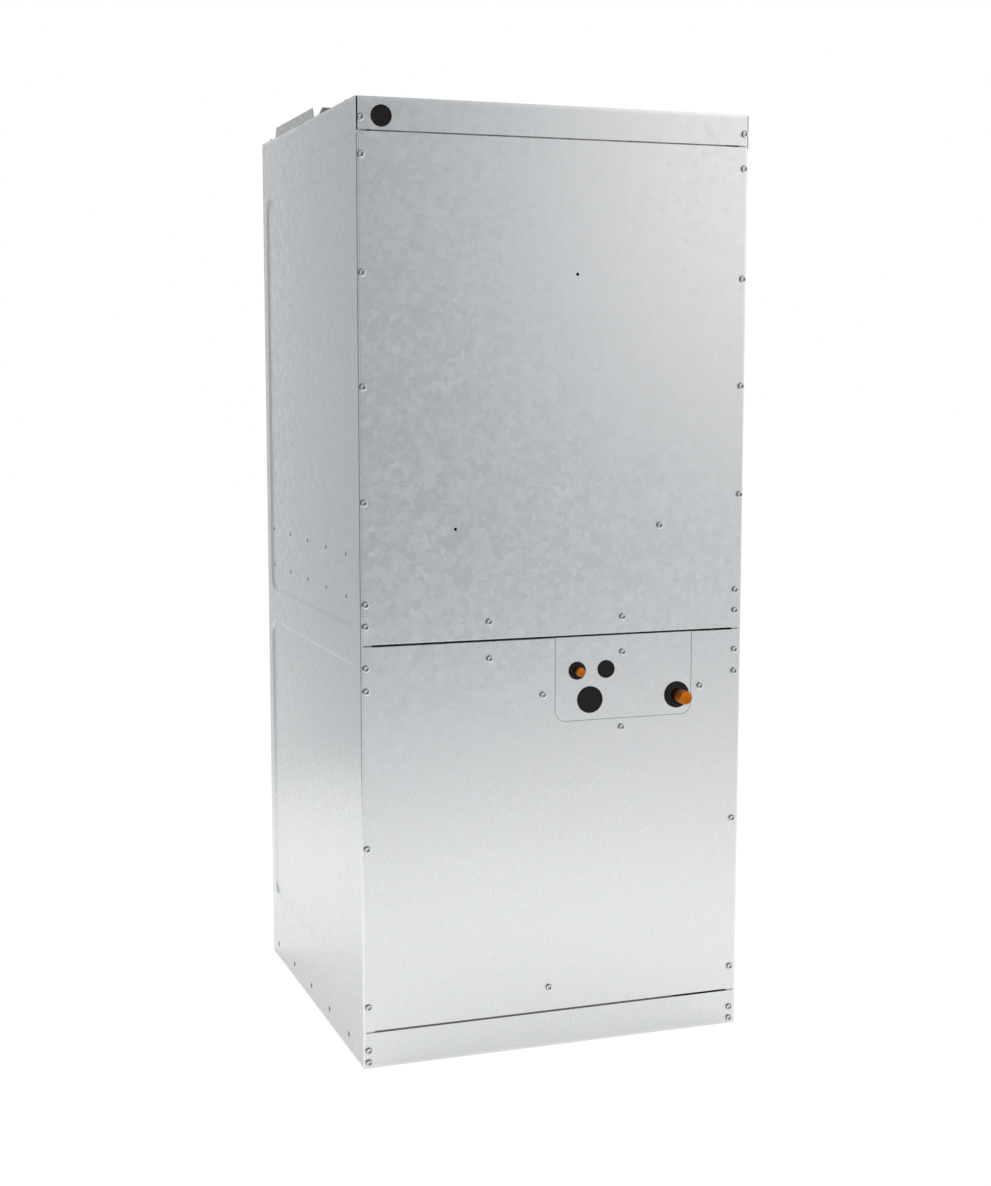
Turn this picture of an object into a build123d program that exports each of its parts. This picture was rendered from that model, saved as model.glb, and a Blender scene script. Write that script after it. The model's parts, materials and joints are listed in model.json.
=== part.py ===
"""Floor-standing galvanised air handler, the indoor unit of a split heat pump.

Millimetres. +Z is up, +X is to the right as one faces the front, and the front faces -Y.
The origin is on the floor, in the middle of the box that holds the cabinet and its copper stubs.
"""
import os
from math import atan, cos, radians, sin, tan

from build123d import *

# Cabinet
CABINET_WIDTH = 560.0
CABINET_DEPTH = 560.0
CABINET_HEIGHT = 1295.0
SHEET = 1.0
BEND_RADIUS = 1.0
FIT_GAP = 0.2
ROUND_SIDES = 32

# Folded edges of the side and back panels
FRONT_RETURN = 14.0
REAR_RETURN = 20.0
TOP_RETURN = 12.0
CORNER_RELIEF = 2.5

# Front pieces: heights of the three seams, and the two open holes of the upper panel
COVER_FACE_HEIGHT = 43.0
UPPER_PART_HEIGHT = 714.0
TOP_SEAM = CABINET_HEIGHT - COVER_FACE_HEIGHT
MIDDLE_SEAM = CABINET_HEIGHT - UPPER_PART_HEIGHT
BASE_SEAM = 50.0
SEAM_GAP = 2.0
PANEL_EDGE = 3.5
PANEL_FOLD = 14.0
PEEP_HOLE_RADIUS = 2.2
HIGH_HOLE_OFFSET = 27.2
HIGH_HOLE_DROP = 221.1
LOW_HOLE_OFFSET = -147.2
LOW_HOLE_DROP = 561.2
PEEP_HOLE_PLACES = [
    (HIGH_HOLE_OFFSET, CABINET_HEIGHT - HIGH_HOLE_DROP),
    (LOW_HOLE_OFFSET, CABINET_HEIGHT - LOW_HOLE_DROP),
]

# Pressed fields of the side and back panels
FIELD_DEPTH = 2.0
FIELD_SLOPE = 4.0
FIELD_MARGIN = 25.0
FIELD_CORNER = 24.0
FIELD_TOP_MARGIN = 87.0
FIELD_RISE_ABOVE_SEAM = 20.0
FIELD_DROP_BELOW_SEAM = 28.0
UPPER_FIELD_TOP = CABINET_HEIGHT - FIELD_TOP_MARGIN
UPPER_FIELD_BOTTOM = MIDDLE_SEAM + FIELD_RISE_ABOVE_SEAM
LOWER_FIELD_TOP = MIDDLE_SEAM - FIELD_DROP_BELOW_SEAM
LOWER_FIELD_BOTTOM = 103.0

# Top cover over the wiring space, and the supply frame behind it
SUPPLY_FRAME_DEPTH = 289.0
COVER_DEPTH = CABINET_DEPTH - SUPPLY_FRAME_DEPTH
COVER_SIDE_DROP = 46.0
COVER_CORNER_GAP = 2.0
SUPPLY_SIDE_MARGIN = 15.0
SUPPLY_FRONT_MARGIN = 7.0
SUPPLY_BACK_MARGIN = 29.0
COLLAR_HEIGHT = 22.0
COLLAR_MITRE = 11.0
WIRING_CHANNEL_LEFT_MARGIN = 20.0
WIRING_CHANNEL_RIGHT_MARGIN = 33.0
WIRING_CHANNEL_DROP = 66.0
WIRING_CHANNEL_DEPTH = 60.0

# Connection plate in the lower access panel
PLATE_WIDTH = 205.0
PLATE_RIGHT_MARGIN = 77.7
PLATE_CENTRE = CABINET_WIDTH / 2 - PLATE_RIGHT_MARGIN - PLATE_WIDTH / 2
PLATE_HEIGHT = 118.0
PLATE_BOTTOM = MIDDLE_SEAM - PLATE_HEIGHT
PLATE_CORNER = 15.0
PLATE_SEAM = 0.8
PLATE_LAP = 24.0
PLATE_JOGGLE = 4.0

# Rubber grommets and plugs
GROMMET_STAND = 3.0
GROMMET_LIP = 2.0
GROMMET_NECK = 3.0
GROMMET_BACK_INSET = 1.2
GROMMET_BEVEL = 1.2
SMALL_GROMMET_RADIUS = 12.5
LARGE_GROMMET_RADIUS = 18.7
WIRING_PLUG_RADIUS = 14.0
WIRING_PLUG_MARGIN = 33.6
WIRING_PLUG_DROP = 24.0
WIRING_PLUG_PLACE = (WIRING_PLUG_MARGIN - CABINET_WIDTH / 2, CABINET_HEIGHT - WIRING_PLUG_DROP)

# Ports: offset from the plate's centre line, and drop below the middle seam
LIQUID_OFFSET = -70.4
LIQUID_DROP = 48.3
SMALL_PORT_OFFSET = -27.2
SMALL_PORT_DROP = 48.1
LARGE_PORT_OFFSET = -51.2
LARGE_PORT_DROP = 89.9
SUCTION_OFFSET = 80.8
SUCTION_DROP = 90.2
LIQUID_PLACE = (PLATE_CENTRE + LIQUID_OFFSET, MIDDLE_SEAM - LIQUID_DROP)
SMALL_PORT_PLACE = (PLATE_CENTRE + SMALL_PORT_OFFSET, MIDDLE_SEAM - SMALL_PORT_DROP)
LARGE_PORT_PLACE = (PLATE_CENTRE + LARGE_PORT_OFFSET, MIDDLE_SEAM - LARGE_PORT_DROP)
SUCTION_PLACE = (PLATE_CENTRE + SUCTION_OFFSET, MIDDLE_SEAM - SUCTION_DROP)

# Copper stubs: a tube from inside the cabinet, with a closed cup brazed over its end
LIQUID_RADIUS = 6.35
LIQUID_REACH = 15.0
SUCTION_RADIUS = 9.525
SUCTION_REACH = 32.0
COPPER_WALL = 1.1
CUP_STEP = 0.3
CUP_GAP = 0.5
CUP_STAND = GROMMET_STAND + CUP_GAP
STUB_END_BEVEL = 0.8
STUB_INSIDE = 45.0
RUNNING_GAP = 0.1

# Round holes and rubber pieces of the connection plate: place and outer radius of each
PORTS = {
    "liquid_line_grommet": (LIQUID_PLACE, SMALL_GROMMET_RADIUS),
    "small_port_plug": (SMALL_PORT_PLACE, SMALL_GROMMET_RADIUS),
    "large_port_plug": (LARGE_PORT_PLACE, LARGE_GROMMET_RADIUS),
    "suction_line_grommet": (SUCTION_PLACE, LARGE_GROMMET_RADIUS),
}
PORT_BORES = {
    "liquid_line_grommet": LIQUID_RADIUS - CUP_STEP + RUNNING_GAP,
    "suction_line_grommet": SUCTION_RADIUS - CUP_STEP + RUNNING_GAP,
}

# Rails
BASE_RAIL_HEIGHT = 45.0
BASE_RAIL_WIDTH = 38.0
MIDDLE_RAIL_RISE = 39.0
MIDDLE_RAIL_DROP = 35.0
MIDDLE_RAIL_TOP = MIDDLE_SEAM + MIDDLE_RAIL_RISE
MIDDLE_RAIL_BOTTOM = MIDDLE_SEAM - MIDDLE_RAIL_DROP
MIDDLE_RAIL_GROOVE = 18.0
MIDDLE_RAIL_DEPTH = 18.0
SUPPORT_RAIL_HEIGHT = 81.0
SUPPORT_RAIL_WIDTH = 40.0
SUPPORT_RAIL_INSET = 40.0
COIL_RAIL_BOTTOM = 60.0
COIL_RAIL_TOP = 100.0
COIL_RAIL_WIDTH = 40.0

# Lining
LINING = 12.0
LINING_FRONT_INSET = 22.0

# Blower deck and plenum
PLENUM_HEIGHT = 80.0
DECK_HEIGHT = CABINET_HEIGHT - PLENUM_HEIGHT
DECK_RIM = 25.0

# Blower
WHEEL_RADIUS = 140.0
WHEEL_BLADE_DEPTH = 20.0
WHEEL_WIDTH = 240.0
WHEEL_RING = 6.0
WHEEL_BLADE_COUNT = 30
WHEEL_SIDES = 2 * WHEEL_BLADE_COUNT
BLADE_THICKNESS = 1.5
BLADE_INSET = 1.5
BLADE_LEAN = 32.0
HUB_RADIUS = 18.0
HUB_LENGTH = 30.0
SHAFT_RADIUS = 6.35
HOUSING_WIDTH = 280.0
HOUSING_CLEARANCE = 10.0
HOUSING_GROWTH = 33.0
CUTOFF_REACH = 20.0
INLET_RADIUS = 112.0
OUTLET_RISE = 250.0
BLOWER_STAND = 232.0
BLOWER_FOOT = 240.0
BLOWER_BACK_MARGIN = 34.0
CROSS_BAR_HEIGHT = 24.0
CROSS_BAR_WIDTH = 40.0
CROSS_BAR_OFFSET = 90.0
MOTOR_RADIUS = 68.0
MOTOR_LENGTH = 130.0
MOTOR_BEVEL = 6.0
MOTOR_BAND = 4.0
MOTOR_BAND_WIDTH = 10.0
MOTOR_ARM_WIDTH = 14.0
MOTOR_ARM_COUNT = 3

# Coil and drain pan
PAN_HEIGHT = 35.0
PAN_WALL = 3.0
PAN_RIM = 20.0
PAN_GAP = 3.0
PAN_OPENING_WIDTH = 290.0
PAN_OPENING_MARGIN = 55.0
COIL_SLAB = 62.0
COIL_HALF_SPREAD = 158.0
COIL_APEX_DROP = 56.0
COIL_APEX_HEIGHT = MIDDLE_SEAM - COIL_APEX_DROP
COIL_END_MARGIN = 39.5
COIL_APEX_GAP = 4.0

# Places that follow from the sizes above
HALF_WIDTH = CABINET_WIDTH / 2
FRONT_Y = -(CABINET_DEPTH - SHEET - SUCTION_REACH) / 2
BACK_Y = FRONT_Y + CABINET_DEPTH
MIDDLE_Y = (FRONT_Y + BACK_Y) / 2
INNER_X = HALF_WIDTH - SHEET
SEAT_HALF = INNER_X - BEND_RADIUS
FIELD_INNER_X = INNER_X - FIELD_DEPTH
LINING_INNER_X = FIELD_INNER_X - LINING
RAIL_FACE_Y = FRONT_Y + SHEET
BACK_INNER_Y = BACK_Y - 2 * SHEET
BACK_FIELD_Y = BACK_INNER_Y - FIELD_DEPTH
LINING_BACK_Y = BACK_FIELD_Y - LINING
LINING_FRONT_Y = FRONT_Y + LINING_FRONT_INSET
UNDER_TOP = CABINET_HEIGHT - SHEET
UNDER_RETURN = UNDER_TOP - SHEET
SUPPLY_FRONT_Y = FRONT_Y + COVER_DEPTH + SUPPLY_FRONT_MARGIN
SUPPLY_BACK_Y = BACK_Y - SUPPLY_BACK_MARGIN
SUPPLY_HALF_WIDTH = HALF_WIDTH - SUPPLY_SIDE_MARGIN
SCROLL_START = WHEEL_RADIUS + HOUSING_CLEARANCE
SCROLL_END = SCROLL_START + 3 * HOUSING_GROWTH
BLOWER_Y = BACK_Y - BLOWER_BACK_MARGIN - SCROLL_END
BLOWER_CENTRE_HEIGHT = DECK_HEIGHT - OUTLET_RISE
BAR_TOP = BLOWER_CENTRE_HEIGHT - BLOWER_STAND
SUPPORT_RAIL_TOP = BAR_TOP - CROSS_BAR_HEIGHT
SUPPORT_RAIL_BOTTOM = SUPPORT_RAIL_TOP - SUPPORT_RAIL_HEIGHT
PAN_FLOOR_TOP = COIL_RAIL_TOP + PAN_WALL
PAN_BACK_Y = LINING_BACK_Y - PAN_GAP
COIL_FRONT_Y = LINING_FRONT_Y + COIL_END_MARGIN
COIL_BACK_Y = PAN_BACK_Y - COIL_END_MARGIN

# Clinched buttons that fasten the inner rails to the sides: three rows, sunk in the outer face
BUTTON_RADIUS = 3.4
BUTTON_DEPTH = 0.6
BUTTON_COUNT = 5
BUTTON_SIDES = 8
BUTTON_FRONT_MARGIN = 78.0
BUTTON_REAR_MARGIN = 42.0
BUTTON_PITCH = (CABINET_DEPTH - BUTTON_FRONT_MARGIN - BUTTON_REAR_MARGIN) / (BUTTON_COUNT - 1)
BUTTON_EDGE_MARGIN = 12.0
BASE_BUTTON_ROW = 22.0
HIGH_BUTTON_ROW = SUPPORT_RAIL_TOP - BUTTON_EDGE_MARGIN
LOW_BUTTON_ROW = SUPPORT_RAIL_BOTTOM + BUTTON_EDGE_MARGIN
BUTTON_ROWS = [HIGH_BUTTON_ROW, LOW_BUTTON_ROW, BASE_BUTTON_ROW]


def block(x0, x1, y0, y1, z0, z1):
    """A box between three pairs of limits."""
    centre = Location(((x0 + x1) / 2, (y0 + y1) / 2, (z0 + z1) / 2))
    return centre * Box(abs(x1 - x0), abs(y1 - y0), abs(z1 - z0))


def folded_ring(width, depth, height):
    """A rectangular tube of sheet with bent corners, standing on z = 0."""
    outer = RectangleRounded(width, depth, BEND_RADIUS + SHEET)
    inner = RectangleRounded(width - 2 * SHEET, depth - 2 * SHEET, BEND_RADIUS)
    return extrude(outer - inner, height)


def pressed_field(face, width, height):
    """The cutter and the backing of one pressed field on a sheet.

    The face plane lies on the sheet's outer side with its normal pointing out. The field's
    edge slopes in by FIELD_SLOPE, and the sheet keeps its thickness through the slope.
    """
    back_shift = SHEET * tan(atan(FIELD_DEPTH / FIELD_SLOPE) / 2)
    floor_width = width - 2 * FIELD_SLOPE
    floor_height = height - 2 * FIELD_SLOPE
    floor_corner = FIELD_CORNER - FIELD_SLOPE
    mouth = face * RectangleRounded(width, height, FIELD_CORNER)
    floor = face.offset(-FIELD_DEPTH) * RectangleRounded(floor_width, floor_height, floor_corner)
    back_mouth = face.offset(-SHEET) * RectangleRounded(
        width + 2 * back_shift, height + 2 * back_shift, FIELD_CORNER + back_shift
    )
    back_floor = face.offset(-SHEET - FIELD_DEPTH) * RectangleRounded(
        floor_width + 2 * back_shift, floor_height + 2 * back_shift, floor_corner + back_shift
    )
    cutter = loft([mouth, floor], ruled=True)
    backing = loft([back_mouth, back_floor], ruled=True)
    return cutter, backing


def press_fields(panel, face_at):
    """Press the upper and lower fields into a panel; face_at gives the plane at a height."""
    width = CABINET_DEPTH - 2 * FIELD_MARGIN
    for low, high in ((LOWER_FIELD_BOTTOM, LOWER_FIELD_TOP), (UPPER_FIELD_BOTTOM, UPPER_FIELD_TOP)):
        cutter, backing = pressed_field(face_at((low + high) / 2), width, high - low)
        panel = panel + backing - cutter
    return panel


def button_places():
    """Depth and height of each clinched button on one side."""
    first = FRONT_Y + BUTTON_FRONT_MARGIN
    return [(first + n * BUTTON_PITCH, height) for height in BUTTON_ROWS for n in range(BUTTON_COUNT)]


def side_panel(side):
    """One side of the cabinet: a sheet with folded front, rear and top edges."""
    ring = Location((0, MIDDLE_Y, 0)) * folded_ring(CABINET_WIDTH, CABINET_DEPTH, UNDER_TOP)
    keep_front = block(HALF_WIDTH - FRONT_RETURN, HALF_WIDTH, FRONT_Y, MIDDLE_Y, 0, UNDER_TOP)
    keep_rear = block(HALF_WIDTH - REAR_RETURN, HALF_WIDTH, MIDDLE_Y, BACK_Y, 0, UNDER_TOP)
    panel = ring & (keep_front + keep_rear)
    top_fold = block(
        HALF_WIDTH - TOP_RETURN, INNER_X, FRONT_Y + REAR_RETURN, BACK_Y - REAR_RETURN, UNDER_RETURN, UNDER_TOP
    )
    relief = block(
        HALF_WIDTH - CORNER_RELIEF, HALF_WIDTH, FRONT_Y, FRONT_Y + CORNER_RELIEF, TOP_SEAM, UNDER_TOP
    )
    panel = panel + top_fold - relief

    def outer_face(height):
        return Plane((HALF_WIDTH, MIDDLE_Y, height), x_dir=(0, 1, 0), z_dir=(1, 0, 0))

    panel = press_fields(panel, outer_face)
    button = RegularPolygon(BUTTON_RADIUS, BUTTON_SIDES)
    buttons = []
    for depth, height in button_places():
        face_x = HALF_WIDTH - (FIELD_DEPTH if height > BASE_BUTTON_ROW else 0.0)
        mouth = Plane((face_x, depth, height), z_dir=(1, 0, 0)) * button
        buttons.append(extrude(mouth, -BUTTON_DEPTH))
    panel = panel - buttons
    return panel if side > 0 else mirror(panel, about=Plane.YZ)


def back_panel():
    """The back sheet, seated on the inner faces of the rear folds."""
    half = SEAT_HALF
    sheet = block(-half, half, BACK_INNER_Y, BACK_Y - SHEET, 0, UNDER_TOP)
    top_half = HALF_WIDTH - REAR_RETURN
    top_fold = block(-top_half, top_half, BACK_INNER_Y - TOP_RETURN, BACK_INNER_Y, UNDER_RETURN, UNDER_TOP)

    def outer_face(height):
        return Plane((0, BACK_Y - SHEET, height), x_dir=(-1, 0, 0), z_dir=(0, 1, 0))

    return press_fields(sheet + top_fold, outer_face)


def base_side_rail(side):
    """An angle along the foot of one side, clinched to the side panel."""
    y0 = RAIL_FACE_Y + SHEET + FIT_GAP
    y1 = BACK_INNER_Y - SHEET - FIT_GAP
    web = block(INNER_X - SHEET, INNER_X, y0, y1, 0, BASE_RAIL_HEIGHT)
    foot = block(INNER_X - BASE_RAIL_WIDTH, INNER_X, y0, y1, 0, SHEET)
    rail = web + foot
    return rail if side > 0 else mirror(rail, about=Plane.YZ)


def base_end_rail(web_y, inward):
    """An angle along the foot of the front or the back, between the side rails' feet."""
    half_web = INNER_X - SHEET - FIT_GAP
    half_foot = INNER_X - BASE_RAIL_WIDTH - FIT_GAP
    web = block(-half_web, half_web, web_y, web_y + inward * SHEET, SHEET + FIT_GAP, BASE_RAIL_HEIGHT)
    drop = block(-half_foot, half_foot, web_y, web_y + inward * SHEET, 0, BASE_RAIL_HEIGHT)
    foot = block(-half_foot, half_foot, web_y, web_y + inward * BASE_RAIL_WIDTH, 0, SHEET)
    return web + drop + foot


def folded_face(depth, height):
    """The cross-section of a rectangular tube of sheet with bent corners."""
    outer = RectangleRounded(depth, height, BEND_RADIUS + SHEET)
    inner = RectangleRounded(depth - 2 * SHEET, height - 2 * SHEET, BEND_RADIUS)
    return outer - inner


def fold_edge(sheet, edge, inward):
    """Fold one long edge of a front sheet back between the side folds; inward is 1 or -1 in Z."""
    half = HALF_WIDTH - FRONT_RETURN - SEAM_GAP
    face = FRONT_Y - SHEET
    bent = edge + inward * (BEND_RADIUS + SHEET)
    tube = extrude(Plane.YZ * folded_face(2 * PANEL_FOLD, 2 * PANEL_FOLD), half, both=True)
    tube = Location((0, face + PANEL_FOLD, edge + inward * PANEL_FOLD)) * tube
    fold = tube & block(-half, half, face, face + PANEL_FOLD, edge, bent)
    return sheet - block(-half, half, face, FRONT_Y, edge, bent) + fold


def front_sheet(bottom, top):
    """A flat sheet that lies on the side folds, between two heights."""
    half = HALF_WIDTH - PANEL_EDGE
    return block(-half, half, FRONT_Y - SHEET, FRONT_Y, bottom, top)


def through_hole(place, radius):
    """A cutter for a round hole through the front sheets at (x, z)."""
    x, z = place
    return Plane((x, FRONT_Y, z), z_dir=(0, -1, 0)) * round_post(radius, -3 * SHEET, 3 * SHEET)


def upper_access_panel():
    """The tall panel over the blower and the controls, with two small open holes."""
    low = MIDDLE_SEAM + SEAM_GAP / 2
    panel = fold_edge(front_sheet(low, TOP_SEAM - SEAM_GAP / 2), low, 1)
    for place in PEEP_HOLE_PLACES:
        panel = panel - through_hole(place, PEEP_HOLE_RADIUS)
    return panel


def plate_layer(grow, y0, y1):
    """One layer of the U-shaped connection plate between two depths, cut level at the middle seam."""
    low = PLATE_BOTTOM - grow
    high = MIDDLE_SEAM - SEAM_GAP / 2
    half = PLATE_WIDTH / 2 + grow
    height = high - low + PLATE_CORNER
    centre = Plane((PLATE_CENTRE, y1, low + height / 2), x_dir=(1, 0, 0), z_dir=(0, -1, 0))
    slab = extrude(centre * RectangleRounded(2 * half, height, PLATE_CORNER + max(grow, 0)), y1 - y0)
    return slab - block(PLATE_CENTRE - half, PLATE_CENTRE + half, y0, y1, high, low + height)


def lower_access_panel():
    """The panel over the coil, with a U-shaped notch for the connection plate."""
    low = BASE_SEAM + SEAM_GAP / 2
    high = MIDDLE_SEAM - SEAM_GAP / 2
    panel = fold_edge(fold_edge(front_sheet(low, high), low, 1), high, -1)
    notch = plate_layer(PLATE_SEAM, FRONT_Y - SHEET, FRONT_Y + PANEL_FOLD)
    half = PLATE_WIDTH / 2 + PLATE_LAP + SEAM_GAP
    fold_gap = block(
        PLATE_CENTRE - half, PLATE_CENTRE + half, FRONT_Y, FRONT_Y + PANEL_FOLD, high - PANEL_FOLD, high
    )
    return panel - notch - fold_gap


def connection_plate():
    """The plate that carries the pipe ports: flush in its notch, with a lap behind the panel."""
    flush = plate_layer(0, FRONT_Y - SHEET, FRONT_Y)
    lap = plate_layer(PLATE_LAP, FRONT_Y, FRONT_Y + SHEET)
    window = plate_layer(-PLATE_JOGGLE, FRONT_Y, FRONT_Y + SHEET)
    plate = flush + (lap - window)
    for place, radius in PORTS.values():
        plate = plate - through_hole(place, radius - GROMMET_NECK)
    return plate


def grommet(place, radius, bore):
    """A rubber grommet or plug turned about the port's axis, with a lip on each side of the sheet."""
    x, z = place
    front = bevel_top(round_post(radius, 0, GROMMET_STAND), GROMMET_BEVEL)
    waist = round_post(radius - GROMMET_NECK - FIT_GAP / 2, -SHEET, 0)
    rear = round_post(radius - GROMMET_BACK_INSET, -SHEET - GROMMET_LIP, -SHEET)
    body = front + waist + rear
    if bore > 0:
        body = body - round_post(bore, -SHEET - GROMMET_LIP, GROMMET_STAND)
    return Plane((x, FRONT_Y - SHEET, z), z_dir=(0, -1, 0)) * body


def round_post(radius, low, high):
    """A many-sided round post about Z between two heights, which a mesh follows with few faces."""
    return Location((0, 0, low)) * extrude(round_section(radius), high - low)


def round_section(radius):
    """A circle with ROUND_SIDES straight sides."""
    return RegularPolygon(radius, ROUND_SIDES)


def bevel_top(post, size):
    """Chamfer the rim of a post's top face."""
    return chamfer(post.faces().sort_by(Axis.Z)[-1].edges(), size)


def copper_stub(place, radius, reach):
    """A copper tube that is open inside the cabinet, with a closed cup over its outer end.

    The cup is truly round, as pipes are joined to it. The tube has as many sides as its grommet.
    """
    x, z = place
    inside = -STUB_INSIDE - SHEET
    cup = Location((0, 0, (CUP_STAND + reach) / 2)) * Cylinder(radius, reach - CUP_STAND)
    cup = bevel_top(cup, STUB_END_BEVEL)
    tube = round_post(radius - CUP_STEP, inside, CUP_STAND)
    hollow = round_post(radius - CUP_STEP - COPPER_WALL, inside, reach - COPPER_WALL)
    return Plane((x, FRONT_Y - SHEET, z), z_dir=(0, -1, 0)) * (cup + tube - hollow)


def top_front_cover():
    """The lid over the wiring space: its front and sides fold down, with open corners."""
    half = HALF_WIDTH + SHEET
    back = FRONT_Y + COVER_DEPTH
    lid = block(-half, half, FRONT_Y - SHEET, back, UNDER_TOP, CABINET_HEIGHT)
    front_half = HALF_WIDTH - COVER_CORNER_GAP
    low = TOP_SEAM + SEAM_GAP / 2
    lid = lid + block(-front_half, front_half, FRONT_Y - SHEET, FRONT_Y, low, CABINET_HEIGHT)
    for side in (-1, 1):
        inner = side * HALF_WIDTH
        lid = lid + block(inner, side * half, FRONT_Y, back, CABINET_HEIGHT - COVER_SIDE_DROP, CABINET_HEIGHT)
        lid = lid - block(
            side * front_half, side * half, FRONT_Y - SHEET, FRONT_Y, UNDER_TOP - SHEET, CABINET_HEIGHT
        )
    return lid - through_hole(WIRING_PLUG_PLACE, WIRING_PLUG_RADIUS - GROMMET_NECK)


def wiring_channel():
    """The folded channel that hangs under the top cover, behind the top seam."""
    x0 = -HALF_WIDTH + WIRING_CHANNEL_LEFT_MARGIN
    x1 = HALF_WIDTH - WIRING_CHANNEL_RIGHT_MARGIN
    low = UNDER_TOP - WIRING_CHANNEL_DROP
    face = folded_face(2 * WIRING_CHANNEL_DEPTH, WIRING_CHANNEL_DROP)
    tube = extrude(Plane.YZ * face, (x1 - x0) / 2, both=True)
    tube = Location(((x0 + x1) / 2, RAIL_FACE_Y + WIRING_CHANNEL_DEPTH, low + WIRING_CHANNEL_DROP / 2)) * tube
    channel = tube & block(x0, x1, RAIL_FACE_Y, RAIL_FACE_Y + WIRING_CHANNEL_DEPTH, low, UNDER_TOP)
    return channel - through_hole(WIRING_PLUG_PLACE, WIRING_PLUG_RADIUS)


def supply_frame():
    """The rear half of the top, with the supply opening and its mitred collar."""
    y0 = FRONT_Y + COVER_DEPTH + FIT_GAP
    frame = block(-HALF_WIDTH, HALF_WIDTH, y0, BACK_Y, UNDER_TOP, CABINET_HEIGHT)
    frame = frame - block(
        -SUPPLY_HALF_WIDTH, SUPPLY_HALF_WIDTH, SUPPLY_FRONT_Y, SUPPLY_BACK_Y, UNDER_TOP, CABINET_HEIGHT
    )
    depth = SUPPLY_BACK_Y - SUPPLY_FRONT_Y
    middle = (SUPPLY_FRONT_Y + SUPPLY_BACK_Y) / 2
    side_tab = collar_tab(depth)
    end_tab = collar_tab(2 * SUPPLY_HALF_WIDTH)
    frame = frame + Location((-SUPPLY_HALF_WIDTH, middle, CABINET_HEIGHT), (0, 0, 90)) * side_tab
    frame = frame + Location((SUPPLY_HALF_WIDTH, middle, CABINET_HEIGHT), (0, 0, -90)) * side_tab
    frame = frame + Location((0, SUPPLY_FRONT_Y, CABINET_HEIGHT), (0, 0, 180)) * end_tab
    frame = frame + Location((0, SUPPLY_BACK_Y, CABINET_HEIGHT)) * end_tab
    return frame


def collar_tab(length):
    """One upright tab of the collar: a trapezium along X, on the outer side of y = 0."""
    half = length / 2
    corners = [(-half, -SHEET), (half, -SHEET), (half, 0), (half - COLLAR_MITRE, COLLAR_HEIGHT)]
    corners = corners + [(-half + COLLAR_MITRE, COLLAR_HEIGHT), (-half, 0)]
    outline = Plane.XZ * make_face(Polyline(corners, close=True))
    return extrude(outline, -SHEET)


def middle_front_rail():
    """A hat rail behind the middle seam, with a groove that the panels' folds drop into."""
    half = SEAT_HALF
    groove_low = MIDDLE_SEAM - MIDDLE_RAIL_GROOVE / 2
    groove_high = MIDDLE_SEAM + MIDDLE_RAIL_GROOVE / 2
    back = RAIL_FACE_Y + MIDDLE_RAIL_DEPTH
    rail = block(-half, half, RAIL_FACE_Y, RAIL_FACE_Y + SHEET, MIDDLE_RAIL_BOTTOM, MIDDLE_RAIL_TOP)
    rail = rail + block(-half, half, RAIL_FACE_Y, back, groove_low - SHEET, groove_high + SHEET)
    rail = rail - block(-half, half, RAIL_FACE_Y, back - SHEET, groove_low, groove_high)
    for place, radius in PORTS.values():
        rail = rail - through_hole(place, radius + FIT_GAP)
    return rail


def coil_front_rail():
    """A channel across the front that carries the drain pan's front edge."""
    half = SEAT_HALF
    rail = block(-half, half, RAIL_FACE_Y, RAIL_FACE_Y + SHEET, COIL_RAIL_BOTTOM, COIL_RAIL_TOP)
    top = block(-half, half, RAIL_FACE_Y, RAIL_FACE_Y + COIL_RAIL_WIDTH, COIL_RAIL_TOP - SHEET, COIL_RAIL_TOP)
    return rail + top


def coil_back_rail():
    """A channel across the back that carries the drain pan's rear edge."""
    half = SEAT_HALF
    front = BACK_INNER_Y - COIL_RAIL_WIDTH
    rail = block(-half, half, BACK_INNER_Y - SHEET, BACK_INNER_Y, COIL_RAIL_BOTTOM, COIL_RAIL_TOP)
    return rail + block(-half, half, front, BACK_INNER_Y, COIL_RAIL_TOP - SHEET, COIL_RAIL_TOP)


def support_rail(side):
    """A channel along one side under the blower, clinched through the pressed field."""
    y0 = FRONT_Y + SUPPORT_RAIL_INSET
    y1 = BACK_Y - SUPPORT_RAIL_INSET
    inner = FIELD_INNER_X - SUPPORT_RAIL_WIDTH
    solid = block(inner, FIELD_INNER_X, y0, y1, SUPPORT_RAIL_BOTTOM, SUPPORT_RAIL_TOP)
    hollow = block(inner, FIELD_INNER_X - SHEET, y0, y1, SUPPORT_RAIL_BOTTOM + SHEET, SUPPORT_RAIL_TOP - SHEET)
    rail = solid - hollow
    return rail if side > 0 else mirror(rail, about=Plane.YZ)


def side_lining(side, bottom, top):
    """A lining board on the inner face of one side's pressed field."""
    board = block(LINING_INNER_X, FIELD_INNER_X, LINING_FRONT_Y, BACK_FIELD_Y - FIT_GAP, bottom, top)
    return board if side > 0 else mirror(board, about=Plane.YZ)


def back_lining():
    """The lining board on the back panel, between the side linings."""
    half = LINING_INNER_X - FIT_GAP
    return block(-half, half, LINING_BACK_Y, BACK_FIELD_Y, COIL_RAIL_TOP + FIT_GAP, DECK_HEIGHT - FIT_GAP)


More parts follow.
